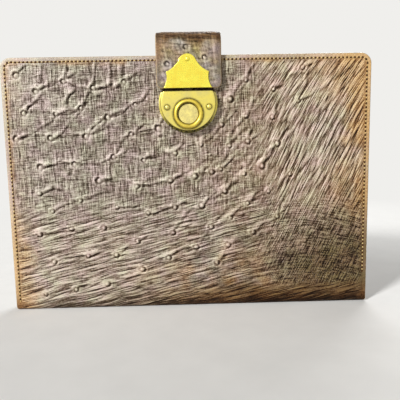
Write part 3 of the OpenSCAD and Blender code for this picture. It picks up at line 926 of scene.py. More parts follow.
def edge_line(left_low, right_low, step=1.0):
    """Points up the left side, over the top and down the right side, with the direction inwards."""
    r = CORNER_R
    high = CASE_H - r

    def corner(middle, start, end):
        turns = [(math.cos(a), math.sin(a)) for a in np.linspace(start, end, 13)]
        return [(middle + r * c, high + r * s, -c, -s) for c, s in turns]

    out = [(-HALF_W, z, 1.0, 0.0) for z in np.arange(left_low, high, step)]
    out += corner(-HALF_W + r, math.pi, math.pi / 2)
    out += [(x, CASE_H, 0.0, -1.0) for x in np.arange(-HALF_W + r + step, HALF_W - r, step)]
    out += corner(HALF_W - r, math.pi / 2, 0)
    down = np.arange(high - step, right_low - step / 2, -step)
    out += [(HALF_W, max(z, right_low), -1.0, 0.0) for z in down]
    return np.array(out)


def turned_corner(side, end):
    """The leather turned in at a top corner, between the lining and the end of the gusset."""
    near = BOARD_Y - TURNED_PROUD
    far = near + TURNED_T
    top = CASE_H - MARGIN_W
    section = [(near, GUSSET_TOP), (near, top), (far, top), (far, GUSSET_TOP)]
    points = [(end * x, side * y, z) for x in (LINING_X, HALF_W - MARGIN_W) for y, z in section]
    return np.array(points), tube_faces(2, len(section))


def turn_in(name, side):
    """The inner ply of leather round the edge of a panel, that the board lies in."""
    line = edge_line(PANEL_Z, PANEL_Z, step=2.0)
    section = [
        (TURN_IN_EDGE, BOARD_Y + TURN_IN_BEVEL),
        (TURN_IN_EDGE + TURN_IN_BEVEL, BOARD_Y),
        (MARGIN_W - TURN_IN_BEVEL, BOARD_Y),
        (MARGIN_W, BOARD_Y + TURN_IN_BEVEL),
        (MARGIN_W, LEATHER_Y),
        (TURN_IN_EDGE, LEATHER_Y),
    ]
    band = []
    for x, z, nx, nz in line:
        band += [(x + nx * inset, side * y, z + nz * inset) for inset, y in section]
    parts = [(np.array(band), tube_faces(len(line), len(section)))]
    parts += [turned_corner(side, end) for end in (-1, 1)]
    points = np.concatenate([p for p, f in parts])
    cut = np.zeros(len(points))
    cut[:len(band)] = np.tile([1.0, 0.5, 0.0, 0.6, 0.6, 1.0], len(line))
    fields = {"rest": points[:, [0, 2, 1]], "cut": cut, "relief": np.full(len(points), 0.5)}
    return mesh_object(name, parts, fields)


# Sewing

def along_line(points, pitch):
    """Points, and directions, a pitch apart along a line of points."""
    points = np.asarray(points, float)
    reach = np.concatenate([[0], np.cumsum(np.linalg.norm(np.diff(points, axis=0), axis=1))])
    count = int(reach[-1] // pitch)
    at = (np.arange(count) + 0.5) * reach[-1] / count

    def place(s):
        return np.stack([np.interp(s, reach, points[:, k]) for k in range(2)], axis=-1)

    run = place(at + 0.4) - place(at - 0.4)
    return place(at), run / np.linalg.norm(run, axis=1)[:, None]


def capsule(centre, run, out, length, radius, sides=8):
    """A stitch: a short bowed length of thread whose ends dip into the leather."""
    across = np.cross(out, run)
    points = []
    stations = np.linspace(-1, 1, 9)
    for s in stations:
        r = radius * math.sqrt(max(1 - s ** 6, 0.02))
        lift = 0.32 * radius - 0.95 * radius * abs(s) ** 3
        middle = centre + run * (s * length / 2) + out * lift
        points += [middle + r * (across * math.cos(a) + out * math.sin(a)) for a in circle(sides)]
    return np.array(points), tube_faces(len(stations), sides)


def lens(centre, run, out, radius, sides=10):
    """A needle hole: a small dark dished disc just proud of the bottom of the groove, coloured with
    painted shade for the inside of the hole.
    """
    across = np.cross(out, run)
    rim = [centre + radius * (run * math.cos(a) + across * math.sin(a)) for a in circle(sides)]
    points = np.array([centre + out * HOLE_RISE, centre - out * HOLE_SINK, *rim])
    faces = [(0, 2 + k, 2 + (k + 1) % sides) for k in range(sides)]
    faces += [(1, 2 + (k + 1) % sides, 2 + k) for k in range(sides)]
    return points, faces


def cell(grid, at):
    """Number of the grid step that holds each place, and how far along it the place lies."""
    step = np.clip(np.searchsorted(grid, at), 1, len(grid) - 1)
    return step, (at - grid[step - 1]) / (grid[step] - grid[step - 1])


def surface_height(shell, x, t):
    """Height of a shell's outside at places on it."""
    row, up = cell(shell.t[:, shell.t.shape[1] // 2], t)
    column, over = cell(shell.x[shell.x.shape[0] // 2, :], x)
    low = shell.height[row - 1, column - 1] * (1 - over) + shell.height[row - 1, column] * over
    high = shell.height[row, column - 1] * (1 - over) + shell.height[row, column] * over
    return low * (1 - up) + high * up


def seam(name, shell, line, settle):
    """A row of stitches on a shell, and the needle holes between them."""
    spots, runs = along_line(line, STITCH_PITCH)
    x, t = spots.T
    lift = surface_height(shell, x, t) + SEAM_LIFT
    here = shell.place(x, t, lift)
    above = shell.place(x, t, lift + 1)
    ahead = shell.place(x + 0.5 * runs[:, 0], t + 0.5 * runs[:, 1], lift)
    threads = []
    holes = []
    for centre, top, front in zip(here, above, ahead):
        out = top - centre
        run = front - centre
        run /= np.linalg.norm(run)
        slant = run + STITCH_SLANT * np.cross(out, run)
        slant /= np.linalg.norm(slant)
        threads.append(capsule(centre + THREAD_LIFT * out, slant, out, STITCH_L, THREAD_R))
        holes.append(lens(centre + run * (STITCH_PITCH / 2), run, out, HOLE_SIZE))
    finish_piece(mesh_object(name, threads), thread, "hide", settle)
    finish_piece(mesh_object(name + "_holes", holes), needle_hole, "hide", settle)


# Brass

def out_of_front(x, up, depth):
    """A point on the lock: across, above the centre of the face, and out of the front leather."""
    return (x, -CASE_Y - depth, LOCK_Z + up)


def lathe(profile, x, up, count=96, closed=False):
    """A turned piece whose axis points out of the front. A profile that isn't closed is capped."""
    points = []
    for r, depth in profile:
        points += [out_of_front(x + r * math.cos(a), up + r * math.sin(a), depth) for a in circle(count)]
    faces = ring_faces(len(profile), count, True) if closed else tube_faces(len(profile), count)
    return np.array(points), faces


def arc(cx, cy, r, start, end, count):
    """Points on an arc, with angles in degrees."""
    return [
        (cx + r * math.cos(math.radians(a)), cy + r * math.sin(math.radians(a)))
        for a in np.linspace(start, end, count)
    ]


def lock_outline(angles, radius, top):
    """Distance from the button's axis to a round outline with a straight top, at each angle."""
    off = -BUTTON_UP
    sine = np.sin(angles)
    curve = off * sine + np.sqrt(radius ** 2 - (off * np.cos(angles)) ** 2)
    chord = (top + off) / np.maximum(sine, 0.05)
    blended = (curve + chord - np.sqrt((curve - chord) ** 2 + 0.6)) / 2
    return np.where(sine > 0.05, blended, curve)


def lock_case(material):
    """Flared skirt, straight side, rounded edge, flat face with the button's hole, and the inside."""
    count = 320
    angles = circle(count)
    loops = [(lock_outline(angles, LOCK_R + SKIRT_W, CHORD_H), d) for d in (0.0, 0.2, SKIRT_RIM)]
    for r, d in arc(LOCK_R + SKIRT_W, SKIRT_RIM + SKIRT_W, SKIRT_W, 262, 180, 8):
        loops.append((lock_outline(angles, r, CHORD_H), d))
    for c, d in arc(-EDGE_R, LOCK_DEPTH - EDGE_R, EDGE_R, 0, 90, 7):
        loops.append((lock_outline(angles, LOCK_R + c, CHORD_H + c), d))
    rim = lock_outline(angles, LOCK_R - EDGE_R, CHORD_H - EDGE_R)
    for share in np.linspace(0.12, 1, 14):
        loops.append((rim + share * (HOLE_R - rim), LOCK_DEPTH))
    inside = lock_outline(angles, LOCK_R - LOCK_WALL, CHORD_H - LOCK_WALL)
    for share in (1.0, 0.5, 0.0):
        loops.append((inside + share * (HOLE_R - inside), LOCK_DEPTH - LOCK_WALL))
    loops.append((inside, 0.0))
    points = []
    grime_and_shade = []
    for reach, depth in loops:
        x = reach * np.cos(angles)
        up = BUTTON_UP + reach * np.sin(angles)
        points += [out_of_front(a, b, depth) for a, b in zip(x, up)]
        # Darker round the foot of the collar and of the rivets
        by_collar = bell(reach - COLLAR_R, 0.8)
        by_rivet = bell(np.hypot(np.abs(x) - RIVET_X, up - RIVET_UP) - RIVET_HEAD_R, 0.7)
        # Painted shade on the skirt, all round and most on its lower side, which faces down
        skirt = (0.35 + 0.65 * smooth(0.1, -0.5, np.sin(angles))) * smooth(6.4, 4.6, depth)
        # Painted shade on the straight top side, which lies in the gap under the hasp
        top_side = smooth(CHORD_H - 0.9, CHORD_H - 0.4, up)
        on_face = 1.0 if depth > LOCK_DEPTH - 0.1 else 0.0
        grime_and_shade += list(np.maximum.reduce([on_face * by_collar, on_face * by_rivet, top_side, skirt]))
    faces = ring_faces(len(loops), count, True)
    piece = mesh_object("lock_body", [(np.array(points), faces)], {"grime_and_shade": np.array(grime_and_shade)}, 50)
    return finish_piece(piece, material, "aged_brass", "front", "lock_case")


def button_ring(material):
    """The raised ring, with a flat land round its foot, and painted shade on its inner wall."""
    crest_r = (COLLAR_R - 0.5 - BORE_R) / 2
    crest = arc(BORE_R + crest_r, 0, crest_r, 172, 8, 19)
    stretch = COLLAR_RISE / crest_r
    profile = [(BORE_R, -LOCK_WALL), (BORE_R, 0.1)]
    profile += [(r, d * stretch) for r, d in crest]
    profile += [(COLLAR_R - 0.3, 0.28), (COLLAR_R, 0.22), (COLLAR_R, 0.0)]
    profile += [(SPIGOT_R, 0.0), (SPIGOT_R, -LOCK_WALL)]
    count = 128
    part = lathe([(r, LOCK_DEPTH + d) for r, d in profile], 0, BUTTON_UP, count, True)
    radius, height = np.array(profile).T
    # Painted shade on the ring's inner wall, strongest on its upper left side
    upper_left_shade = 0.4 + 0.6 * smooth(-0.2, 0.6, np.cos(circle(count) - 0.75 * math.pi))
    # Darker at the ring's foot, where it meets the face
    foot = np.repeat(smooth(0.5, 0.15, height), count)
    wall = np.outer(smooth(BORE_R + 1.5, BORE_R + 0.5, radius), upper_left_shade).ravel()
    piece = mesh_object("button_ring", [part], {"grime_and_shade": np.maximum(foot, wall)})
    return finish_piece(piece, material, "bright_brass", "front", "button_collar")


def press_button(material):
    """The button's head, its flange, and the wedge that works the catch."""
    head = LOCK_DEPTH + COLLAR_RISE - BUTTON_SET
    profile = [(0.4, FLANGE_IN), (FLANGE_R, FLANGE_IN), (FLANGE_R, FLANGE_OUT), (BUTTON_R, FLANGE_OUT)]
    profile += arc(BUTTON_R - 0.5, head - 0.5, 0.5, 0, 90, 6)
    crown = 0.12
    for r in (6.4, 5.0, 3.4, 1.8, 0.4):
        profile.append((r, head + crown * (1 - (r / BUTTON_R) ** 2) - 0.02))
    count = 96
    head_part = lathe(profile, 0, BUTTON_UP, count)
    # Darker rim round the head: painted shade in the gap between the head and the ring
    grime_and_shade = np.array([0.8 if r > BUTTON_R - 0.2 else 0.0 for r, d in profile])
    foot = STEM_LOW - (FLANGE_IN - STEM_TIP)
    side = [(FLANGE_IN, STEM_TOP), (STEM_TIP, STEM_TOP), (STEM_TIP, STEM_LOW), (FLANGE_IN, foot)]
    wedge = [out_of_front(s * STEM_HALF, BUTTON_UP + up, d) for s in (-1, 1) for d, up in side]
    # The wedge, inside the lock, is darker all over
    fields = {"grime_and_shade": np.concatenate([np.repeat(grime_and_shade, count), np.full(len(wedge), 0.6)])}
    piece = mesh_object("press_button", [head_part, (wedge, tube_faces(2, len(side)))], fields)
    return finish_piece(piece, material, "aged_brass", "button", "button")


def rivet_profile(face, grip):
    """Half outline of a domed rivet: closed tail, shank and head."""
    ball = (RIVET_HEAD_H ** 2 + RIVET_HEAD_R ** 2) / (2 * RIVET_HEAD_H)
    far = face - grip
    profile = [(0.3, far - TAIL_T), (TAIL_R - 0.1, far - TAIL_T), (TAIL_R, far - 0.1), (TAIL_R, far)]
    profile += [(RIVET_R, far), (RIVET_R, face), (RIVET_HEAD_R, face)]
    for share in (0.97, 0.88, 0.72, 0.5, 0.25, 0.06):
        r = RIVET_HEAD_R * share
        profile.append((r, face + RIVET_HEAD_H - ball + math.sqrt(ball ** 2 - r ** 2)))
    return profile


def rivets(name, spots, face, grip, material, slot, body, node):
    profile = rivet_profile(face, grip)
    count = 40
    parts = [lathe(profile, x, up, count) for x, up in spots]
    # Darker round the edge of the head and of the tail
    edge = np.array([1.0 if r > RIVET_HEAD_R * 0.9 else 0.0 for r, d in profile])
    piece = mesh_object(name, parts, {"grime_and_shade": np.tile(np.repeat(edge, count), len(spots))})
    return finish_piece(piece, material, slot, body, node)


def meet(a, ra, b, rb, side):
    """The point where two circles meet, on one side of the line from a to b."""
    d = math.dist(a, b)
    along = (d * d + ra * ra - rb * rb) / (2 * d)
    off = side * math.sqrt(ra * ra - along * along)
    ux = (b[0] - a[0]) / d
    uz = (b[1] - a[1]) / d
    return a[0] + along * ux - off * uz, a[1] + along * uz + off * ux


def swing(centre, r, start, end, count):
    """The shorter arc about a centre from one point to another."""
    a = math.atan2(start[1] - centre[1], start[0] - centre[0])
    b = math.atan2(end[1] - centre[1], end[0] - centre[0])
    b = a + (b - a + math.pi) % TURN - math.pi
    return [(centre[0] + r * math.cos(t), centre[1] + r * math.sin(t)) for t in np.linspace(a, b, count)]


def hasp_outline():
    """Waisted plate with two shoulders and a round lobe, from the right foot round to the left."""
    foot = (HASP_HALF, 0.0)
    shoulder = (SHOULDER_X, SHOULDER_Z)
    lobe = (0.0, HASP_H - LOBE_R)
    waist = meet(foot, WAIST_R, shoulder, WAIST_R, -1)
    neck = meet(lobe, LOBE_R + NECK_R, shoulder, NECK_R, 1)
    reach = math.dist(neck, lobe)
    joint = [a + LOBE_R * (b - a) / reach for a, b in zip(lobe, neck)]
    right = swing(waist, WAIST_R, foot, shoulder, 18)
    right += swing(neck, NECK_R, shoulder, joint, 22)[1:]
    right += swing(lobe, LOBE_R, joint, (0.0, HASP_H), 22)[1:]
    return right + [(-x, z) for x, z in reversed(right[:-1])]


def bevelled_plate(outline, far, near, bevel):
    """A plate with a softened front edge. far and near are its distances in front of the case."""
    work = bmesh.new()
    front = [work.verts.new((x, -near, HASP_Z + z)) for x, z in outline]
    rear = [work.verts.new((x, -far, HASP_Z + z)) for x, z in outline]
    face = work.faces.new(front)
    work.faces.new(rear[::-1])
    n = len(outline)
    for k in range(n):
        work.faces.new((front[k], rear[k], rear[(k + 1) % n], front[(k + 1) % n]))
    bmesh.ops.recalc_face_normals(work, faces=work.faces[:])
    soft = {"offset": bevel, "segments": 3, "profile": 0.5, "affect": "EDGES", "clamp_overlap": True}
    bmesh.ops.bevel(work, geom=list(face.edges), **soft)
    flat = max(work.faces, key=lambda f: -f.normal.y * f.calc_area())
    bmesh.ops.inset_region(work, faces=[flat], thickness=0.08, use_even_offset=True)
    work.verts.index_update()
    points = np.array([v.co[:] for v in work.verts])
    faces = [[v.index for v in f.verts] for f in work.faces]
    work.free()
    return points, faces


def staple_lip():
    """The lip that bends back from the hasp's lower edge, with the eye for the catch."""
    near = HASP_Y + 0.4
    low = HASP_Z + 0.02
    high = HASP_Z + HASP_T

    def loop(half, front, back):
        return [(-half, front), (half, front), (half, back), (-half, back)]

    outer = loop(STAPLE_HALF, near, STAPLE_IN)
    eye = loop(EYE_HALF, EYE_NEAR, EYE_FAR)
    points = []
    for corners, z in ((outer, low), (outer, high), (eye, high), (eye, low)):
        points += [(x, -y, z) for x, y in corners]
    return np.array(points), ring_faces(4, 4, True)


def hasp(material):
    plate = bevelled_plate(hasp_outline(), HASP_Y, HASP_Y + HASP_T, 0.32)
    studs = []
    inner = HASP_Y - STRAP_AND_PLATE
    for side in (-1, 1):
        profile = [(STUD_R, inner - CASE_Y), (STUD_R, HASP_Y + 0.3 - CASE_Y)]
        studs.append(lathe(profile, side * STUD_X, STUD_Z - LOCK_Z, 24))
    piece = mesh_object("hasp", [plate, staple_lip(), *studs], None, 55)
    return finish_piece(piece, material, "bright_brass", "tab", "hasp_plate")


def springs(material):
    """The two coil springs under the catch, built at one length."""
    steps = 24 * SPRING_TURNS
    sides = 8
    parts = []
    for side in (-1, 1):
        points = []
        for i in range(steps + 1):
            a = TURN * SPRING_TURNS * i / steps
            z = LOCK_Z + SPRING_LOW + WIRE_R + (SPRING_L - 2 * WIRE_R) * i / steps
            for b in circle(sides):
                r = SPRING_R + WIRE_R * math.cos(b)
                x = side * SPRING_X + r * math.cos(a)
                y = -CASE_Y - SPRING_OUT + r * math.sin(a)
                points.append((x, y, z + WIRE_R * math.sin(b)))
        parts.append((np.array(points), tube_faces(steps + 1, sides)))
    piece = mesh_object("spring_pair", parts)
    finish_piece(piece, material, "spring_steel", "front", "catch_springs")
    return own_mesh(piece)


# Materials

def linear(red, green, blue):
    """A colour written as 0 to 255, as the shaders take it."""
    parts = [c / 255 for c in (red, green, blue)]
    return tuple(c / 12.92 if c <= 0.04045 else ((c + 0.055) / 1.055) ** 2.4 for c in parts) + (1.0,)


class Nodes:
    """Short calls for the nodes of a material or of the world."""

    def __init__(self, tree):
        self.tree = tree

    def plug(self, socket, value):
        if isinstance(value, bpy.types.NodeSocket):
            self.tree.links.new(value, socket)
        else:
            socket.default_value = value

    def node(self, kind, inputs=None, **settings):
        """A new node with its settings, and each input linked or given its constant."""
        made = self.tree.nodes.new("ShaderNode" + kind)
        for key, value in settings.items():
            setattr(made, key, value)
        for key, value in (inputs or {}).items():
            self.plug(made.inputs[key], value)
        return made

    def math(self, kind, a, b):
        return self.node("Math", {0: a, 1: b}, operation=kind).outputs[0]

    def rays(self, first, *others):
        """1 for rays of any of these kinds, and 0 for all others."""
        path = self.node("LightPath").outputs
        seen = path[first]
        for kind in others:
            seen = self.math("MAXIMUM", seen, path[kind])
        return seen

    def both(self, share, first, second):
        """The first shader, or the second where the share is 1."""
        return self.node("MixShader", {"Fac": share, 1: first, 2: second}).outputs[0]


class Shader(Nodes):
    """A node material."""

    def __init__(self, name):
        self.material = bpy.data.materials.new(name)
        self.material.use_nodes = True
        super().__init__(self.material.node_tree)
        self.surface = self.tree.nodes["Principled BSDF"]

    def set(self, **values):
        for key, value in values.items():
            self.plug(self.surface.inputs[key.replace("_", " ")], value)

    def field(self, name, output="Fac"):
        return self.node("Attribute", attribute_name=name).outputs[output]

    def rest(self):
        return self.field("rest", "Vector")

    def object_mm(self):
        """Coordinates in millimetres that move with the piece."""
        return self.stretch(self.node("TexCoord").outputs["Object"], 1000, 1000, 1000)

    def stretch(self, vector, sx, sy, sz, turn=0.0):
        angles = (0, 0, math.radians(turn))
        inputs = {"Vector": vector, "Rotation": angles, "Scale": (sx, sy, sz)}
        return self.node("Mapping", inputs).outputs["Vector"]

    def cloud(self, vector, size, detail=3.0, rough=0.55, warp=0.0):
        """Noise from 0 to 1 with features of about that many millimetres."""
        inputs = {"Vector": vector, "Scale": 1 / size, "Detail": detail, "Roughness": rough}
        return self.node("TexNoise", inputs | {"Distortion": warp}).outputs["Fac"]

    def swayed(self, vector, size, reach):
        """The coordinates pushed about by soft noise, so that straight lines waver."""
        push = self.node("TexNoise", {"Vector": vector, "Scale": 1 / size}).outputs["Color"]
        inputs = {0: push, 1: (reach, reach, 0), 2: vector}
        return self.node("VectorMath", inputs, operation="MULTIPLY_ADD").outputs["Vector"]

    def cells(self, vector, size):
        """Distance to the nearest of scattered points, for pores and pebbles."""
        return self.node("TexVoronoi", {"Vector": vector, "Scale": 1 / size}).outputs["Distance"]

    def add(self, first, *others):
        for value in others:
            first = self.math("ADD", first, value)
        return first

    def weigh(self, *terms):
        """Sum of values, each times its weight."""
        return self.add(*[self.math("MULTIPLY", value, weight) for value, weight in terms])

    def pair(self, a, b):
        return self.node("CombineXYZ", {"X": a, "Y": b}).outputs["Vector"]

    def ranged(self, value, low, high, to_low=0.0, to_high=1.0):
        ends = {"From Min": low, "From Max": high, "To Min": to_low, "To Max": to_high}
        return self.node("MapRange", {"Value": value} | ends).outputs["Result"]

    def ramp(self, value, *stops):
        made = self.node("ValToRGB", {"Fac": value})
        elements = made.color_ramp.elements
        while len(elements) < len(stops):
            elements.new(0.5)
        for element, (place, colour) in zip(elements, stops):
            element.position = place
            element.color = linear(*colour)
        return made.outputs["Color"]

    def mix(self, share, a, b, kind="MIX"):
        return self.node("Mix", {0: share, 6: a, 7: b}, data_type="RGBA", blend_type=kind).outputs[2]

    def bump(self, height, strength, distance):
        inputs = {"Height": height, "Strength": strength, "Distance": distance * MM}
        self.set(Normal=self.node("Bump", inputs).outputs["Normal"])


def wrinkles(s, vector, lean, fine, wide, run):
    """Soft streaks along a direction and thin creases between them, from -1 to about 1."""
    level = s.stretch(vector, 1, 1, 1, -lean)
    soft = s.cloud(s.stretch(level, fine / run, 1, 1), fine, 2, 0.5)
    bare = s.cloud(s.stretch(level, wide / run, 1, 1), wide, 1, 0.5)
    crisp = s.math("ABSOLUTE", s.math("SUBTRACT", bare, 0.5), 0)
    streaks = s.ranged(soft, 0.28, 0.72, -1.0, 1.0)
    creases = s.ranged(crisp, 0, 0.06, -1.0, 0.3)
    return s.weigh((streaks, 0.75), (creases, 0.4))


def hide_wrinkles(s, rest):
    """The finest wrinkles, of each kind where its field holds."""
    fan = s.pair(s.field("fan_along"), s.field("fan_across"))
    cross = s.pair(s.field("cross_along"), s.field("cross_across"))
    bent = s.swayed(rest, 10, 1.5)
    upright = wrinkles(s, bent, 90, 0.75, 1.9, 13)
    level = wrinkles(s, bent, 2, 0.62, 1.7, 11)
    rise = wrinkles(s, s.swayed(rest, 15, 2.6), 13, 0.66, 1.8, 26)
    steep = wrinkles(s, fan, 0, 0.78, 2.1, 20)
    scored = wrinkles(s, s.swayed(fan, 9, 1.2), 0, 0.7, 1.9, 15)
    crossing = wrinkles(s, s.swayed(cross, 9, 1.2), 0, 0.66, 1.7, 14)
    return s.weigh(
        (s.weigh((upright, 0.72), (level, 0.58)), s.field("hatch")),
        (s.weigh((rise, 1.2)), s.field("rise")),
        (s.weigh((steep, 1.2)), s.field("fan")),
        (s.weigh((crossing, 1.4), (scored, 1.6), (upright, 0.4)), s.field("cross")),
    )


def hide_material(name, cool, warm, worn, cut):
    """Quill leather: painted shade in the creases, painted light on the ridges, warmer and worn places,
    and fine grain.
    """
    s = Shader(name)
    rest = s.rest()
    grain = s.cloud(rest, 1.0, 3, 0.6)
    mottle = s.cloud(rest, 17, 4, 0.6)
    wrinkle = hide_wrinkles(s, rest)
    fine = s.ranged(grain, 0.25, 0.75, -0.13, 0.21)
    coarse = s.ranged(mottle, 0.3, 0.7, -0.08, 0.08)
    # The relief and the wrinkles set the tone, darkening creases and lightening ridges: painted shade
    # and painted light, over the leather's own grain and mottling
    tone = s.add(s.field("relief"), fine, coarse, s.math("MULTIPLY", wrinkle, 0.55))
    cool, warm, worn = [s.ramp(tone, *zip(HIDE_STOPS, colours)) for colours in (cool, warm, worn)]
    colour = s.mix(s.field("warm"), cool, warm)
    tint = s.ramp(s.cloud(rest, 13, 3, 0.55), (0.36, (255, 240, 243)), (0.64, (250, 253, 236)))
    colour = s.mix(1.0, colour, tint, "MULTIPLY")
    wear = s.math("MULTIPLY", s.field("wear"), s.ranged(mottle, 0.25, 0.6, 0.55, 1.0))
    colour = s.mix(wear, colour, worn)
    shade = s.math("MULTIPLY", s.field("shade"), 0.9)
    colour = s.mix(shade, colour, linear(138, 121, 60), "MULTIPLY")
    edge = s.ramp(s.cloud(rest, 2.2, 4, 0.6), (0.3, cut[0]), (0.7, cut[1]))
    s.set(
        Base_Color=s.mix(s.field("cut"), colour, edge),
        Roughness=s.ranged(tone, 0.2, 0.8, 0.60, 0.36),
        Specular_IOR_Level=s.ranged(tone, 0.25, 0.7, 0.12, 0.5),
    )
    s.bump(s.weigh((grain, 0.5), (s.cells(rest, 1.3), 0.3), (wrinkle, 0.5)), 0.85, 0.4)
    return s.material


def suede_material(name, dark, pale):
    """Soft lining leather with a short nap."""
    s = Shader(name)
    rest = s.rest()
    nap = s.cloud(rest, 0.7, 5, 0.7)
    cloudy = s.cloud(s.stretch(rest, 1.0, 0.6, 1.0), 11, 3, 0.5)
    colour = s.ramp(s.weigh((nap, 0.55), (cloudy, 0.45)), (0.32, dark), (0.68, pale))
    colour = s.mix(s.math("MULTIPLY", s.field("cut"), 0.5), colour, linear(120, 88, 58))
    s.set(Base_Color=colour, Roughness=0.88, Specular_IOR_Level=0.25)
    s.set(Sheen_Weight=0.25, Sheen_Roughness=0.5)
    s.bump(nap, 0.5, 0.2)
    return s.material


def brass_material(name, bright, dull, stain, rough, scratch, blotch=6.0):
    """Brass with cloudy tarnish, hairline scratches, and, where the field says so, dark dirt at joints
    and painted shade.
    """
    s = Shader(name)
    place = s.object_mm()
    cloudy = s.cloud(place, blotch, 4, 0.6, 0.4)
    speck = s.cloud(place, 1.3, 3, 0.6)
    colour = s.mix(s.ranged(cloudy, 0.35, 0.68), linear(*bright), linear(*dull))
    colour = s.mix(s.ranged(speck, 0.60, 0.74, 0.0, 0.55), colour, linear(*stain))
    # The field darkens joints and paints shade in recesses and on sides turned away from the light
    grime_and_shade = s.math("MULTIPLY", s.field("grime_and_shade"), s.ranged(speck, 0.3, 0.6, 0.65, 1.0))
    colour = s.mix(grime_and_shade, colour, linear(46, 36, 13))
    level_hairs = s.cloud(s.stretch(place, 0.12, 1.0, 4.2), 1.1, 2, 0.5)
    upright_hairs = s.cloud(s.stretch(place, 3.4, 1.0, 0.15), 1.3, 2, 0.5)
    lines = s.math("MULTIPLY", s.add(level_hairs, upright_hairs), 0.5)
    sheen = s.ranged(s.weigh((cloudy, 0.6), (lines, 0.4)), 0.3, 0.7, *rough)
    s.set(Base_Color=colour, Metallic=0.72, Roughness=sheen)
    s.bump(s.add(lines, s.math("MULTIPLY", speck, 0.3)), scratch, 0.06)
    return s.material


def steel_material():
    s = Shader("spring_steel")
    cloudy = s.cloud(s.object_mm(), 1.5, 3, 0.6)
    colour = s.ramp(cloudy, (0.3, (120, 118, 114)), (0.7, (176, 176, 178)))
    s.set(Base_Color=colour, Metallic=1.0, Roughness=s.ranged(cloudy, 0.3, 0.7, 0.25, 0.42))
    s.bump(cloudy, 0.1, 0.03)
    return s.material


def board_material():
    s = Shader("paper_board")
    place = s.object_mm()
    fibre = s.cloud(s.stretch(place, 0.5, 1, 2.0), 1.0, 5, 0.7)
    speck = s.cloud(place, 0.6, 2, 0.5)
    colour = s.ramp(fibre, (0.3, (142, 130, 108)), (0.7, (176, 164, 140)))
    colour = s.mix(s.ranged(speck, 0.64, 0.74, 0.0, 0.6), colour, linear(96, 84, 66))
    s.set(Base_Color=colour, Roughness=0.92, Specular_IOR_Level=0.2)
    s.bump(fibre, 0.3, 0.15)
    return s.material


def thread_material():
    s = Shader("waxed_thread")
    place = s.object_mm()
    ply = s.cloud(s.stretch(place, 1.6, 1.6, 1.6), 0.6, 3, 0.6)
    aged = s.cloud(place, 14, 3, 0.6)
    fresh = s.ramp(ply, (0.3, (196, 166, 104)), (0.7, (238, 214, 150)))
    colour = s.mix(s.ranged(aged, 0.35, 0.65), fresh, linear(196, 168, 112))
    s.set(Base_Color=colour, Roughness=0.6, Specular_IOR_Level=0.35)
    s.bump(ply, 0.4, 0.08)
    return s.material


def hole_material():
    s = Shader("needle_hole")
    hole_shade = s.cloud(s.object_mm(), 0.8, 2, 0.5)
    # The dark colours are painted shade for the inside of a needle hole, which is not cut into the
    # leather
    colour = s.ramp(hole_shade, (0.3, (56, 36, 20)), (0.7, (92, 62, 36)))
    s.set(Base_Color=colour, Roughness=0.85, Specular_IOR_Level=0.1)
    s.bump(hole_shade, 0.2, 0.05)
    return s.material


# Colours of the hides from crease to ridge, from painted shade to painted light: cool, warm and worn
# places. Then those of a cut edge
HIDE_STOPS = (0.10, 0.36, 0.60, 0.95)
HIDES = {
    "quill_hide": (
        ((46, 35, 27), (101, 89, 78), (154, 144, 134), (216, 208, 198)),
        ((46, 31, 17), (105, 84, 62), (158, 138, 116), (222, 207, 188)),
        ((42, 23, 8), (110, 70, 32), (170, 126, 72), (220, 182, 124)),
        ((132, 104, 66), (196, 168, 118)),
    ),
    "strap_hide": (
        ((56, 49, 48), (103, 95, 93), (149, 140, 138), (208, 200, 196)),
        ((58, 47, 26), (110, 96, 62), (158, 142, 98), (210, 195, 148)),
        ((44, 28, 14), (92, 62, 30), (142, 98, 48), (198, 152, 88)),
        ((140, 112, 76), (206, 178, 132)),
    ),
}

# Dark and pale colours of the inner leathers
SUEDES = {
    "gusset_leather": ((96, 70, 46), (150, 114, 78)),
    "lining_suede": ((150, 116, 80), (196, 162, 120)),
    "turned_hide": ((104, 80, 56), (150, 122, 90)),
}

# Bright, dull and stained colours of the brasses, roughness, depth of scratches and size of blotches
BRASSES = {
    "bright_brass": ((255, 245, 92), (244, 219, 76), (224, 188, 66), (0.22, 0.34), 0.06),
    "aged_brass": ((242, 224, 106), (216, 202, 120), (158, 144, 92), (0.30, 0.46), 0.16, 9.0),
    "ring_brass": ((244, 220, 92), (216, 190, 74), (158, 134, 58), (0.26, 0.42), 0.12),
    "button_brass": ((246, 230, 140), (200, 186, 122), (124, 112, 72), (0.36, 0.52), 0.2, 3.0),
    "plate_brass": ((214, 188, 110), (178, 150, 82), (130, 108, 62), (0.34, 0.5), 0.15),
    # The catch's colours are dark: painted shade for the gap under the hasp, where its nose shows
    "catch_brass": ((74, 62, 38), (52, 42, 26), (34, 27, 17), (0.42, 0.6), 0.15),
}

coats = {name: hide_material(name, *look) for name, look in HIDES.items()}
coats |= {name: suede_material(name, *look) for name, look in SUEDES.items()}
coats |= {name: brass_material(name, *look) for name, look in BRASSES.items()}
steel = steel_material()
board = board_material()
thread = thread_material()
needle_hole = hole_material()

for name, coat in (
    ("front_board", board),
    ("back_board", board),
    ("hasp_backing_plate", coats["plate_brass"]),
    ("lock_back_plate", coats["plate_brass"]),
    ("catch_plate", coats["catch_brass"]),
    ("rivet_washers", coats["plate_brass"]),
):
    nodes[name].data.materials.clear()
    nodes[name].data.materials.append(coat)


# Camera

def stand(name, data, place, right, up, ahead):
    """A camera or a lamp at a place in metres, with its directions."""
    turn = np.eye(4)
    turn[:3, 0] = right
    turn[:3, 1] = up
    turn[:3, 2] = -ahead
    turn[:3, 3] = place
    made = bpy.data.objects.new(name, data)
    made.matrix_world = Matrix(turn.tolist())
    bpy.context.scene.collection.objects.link(made)
    return made


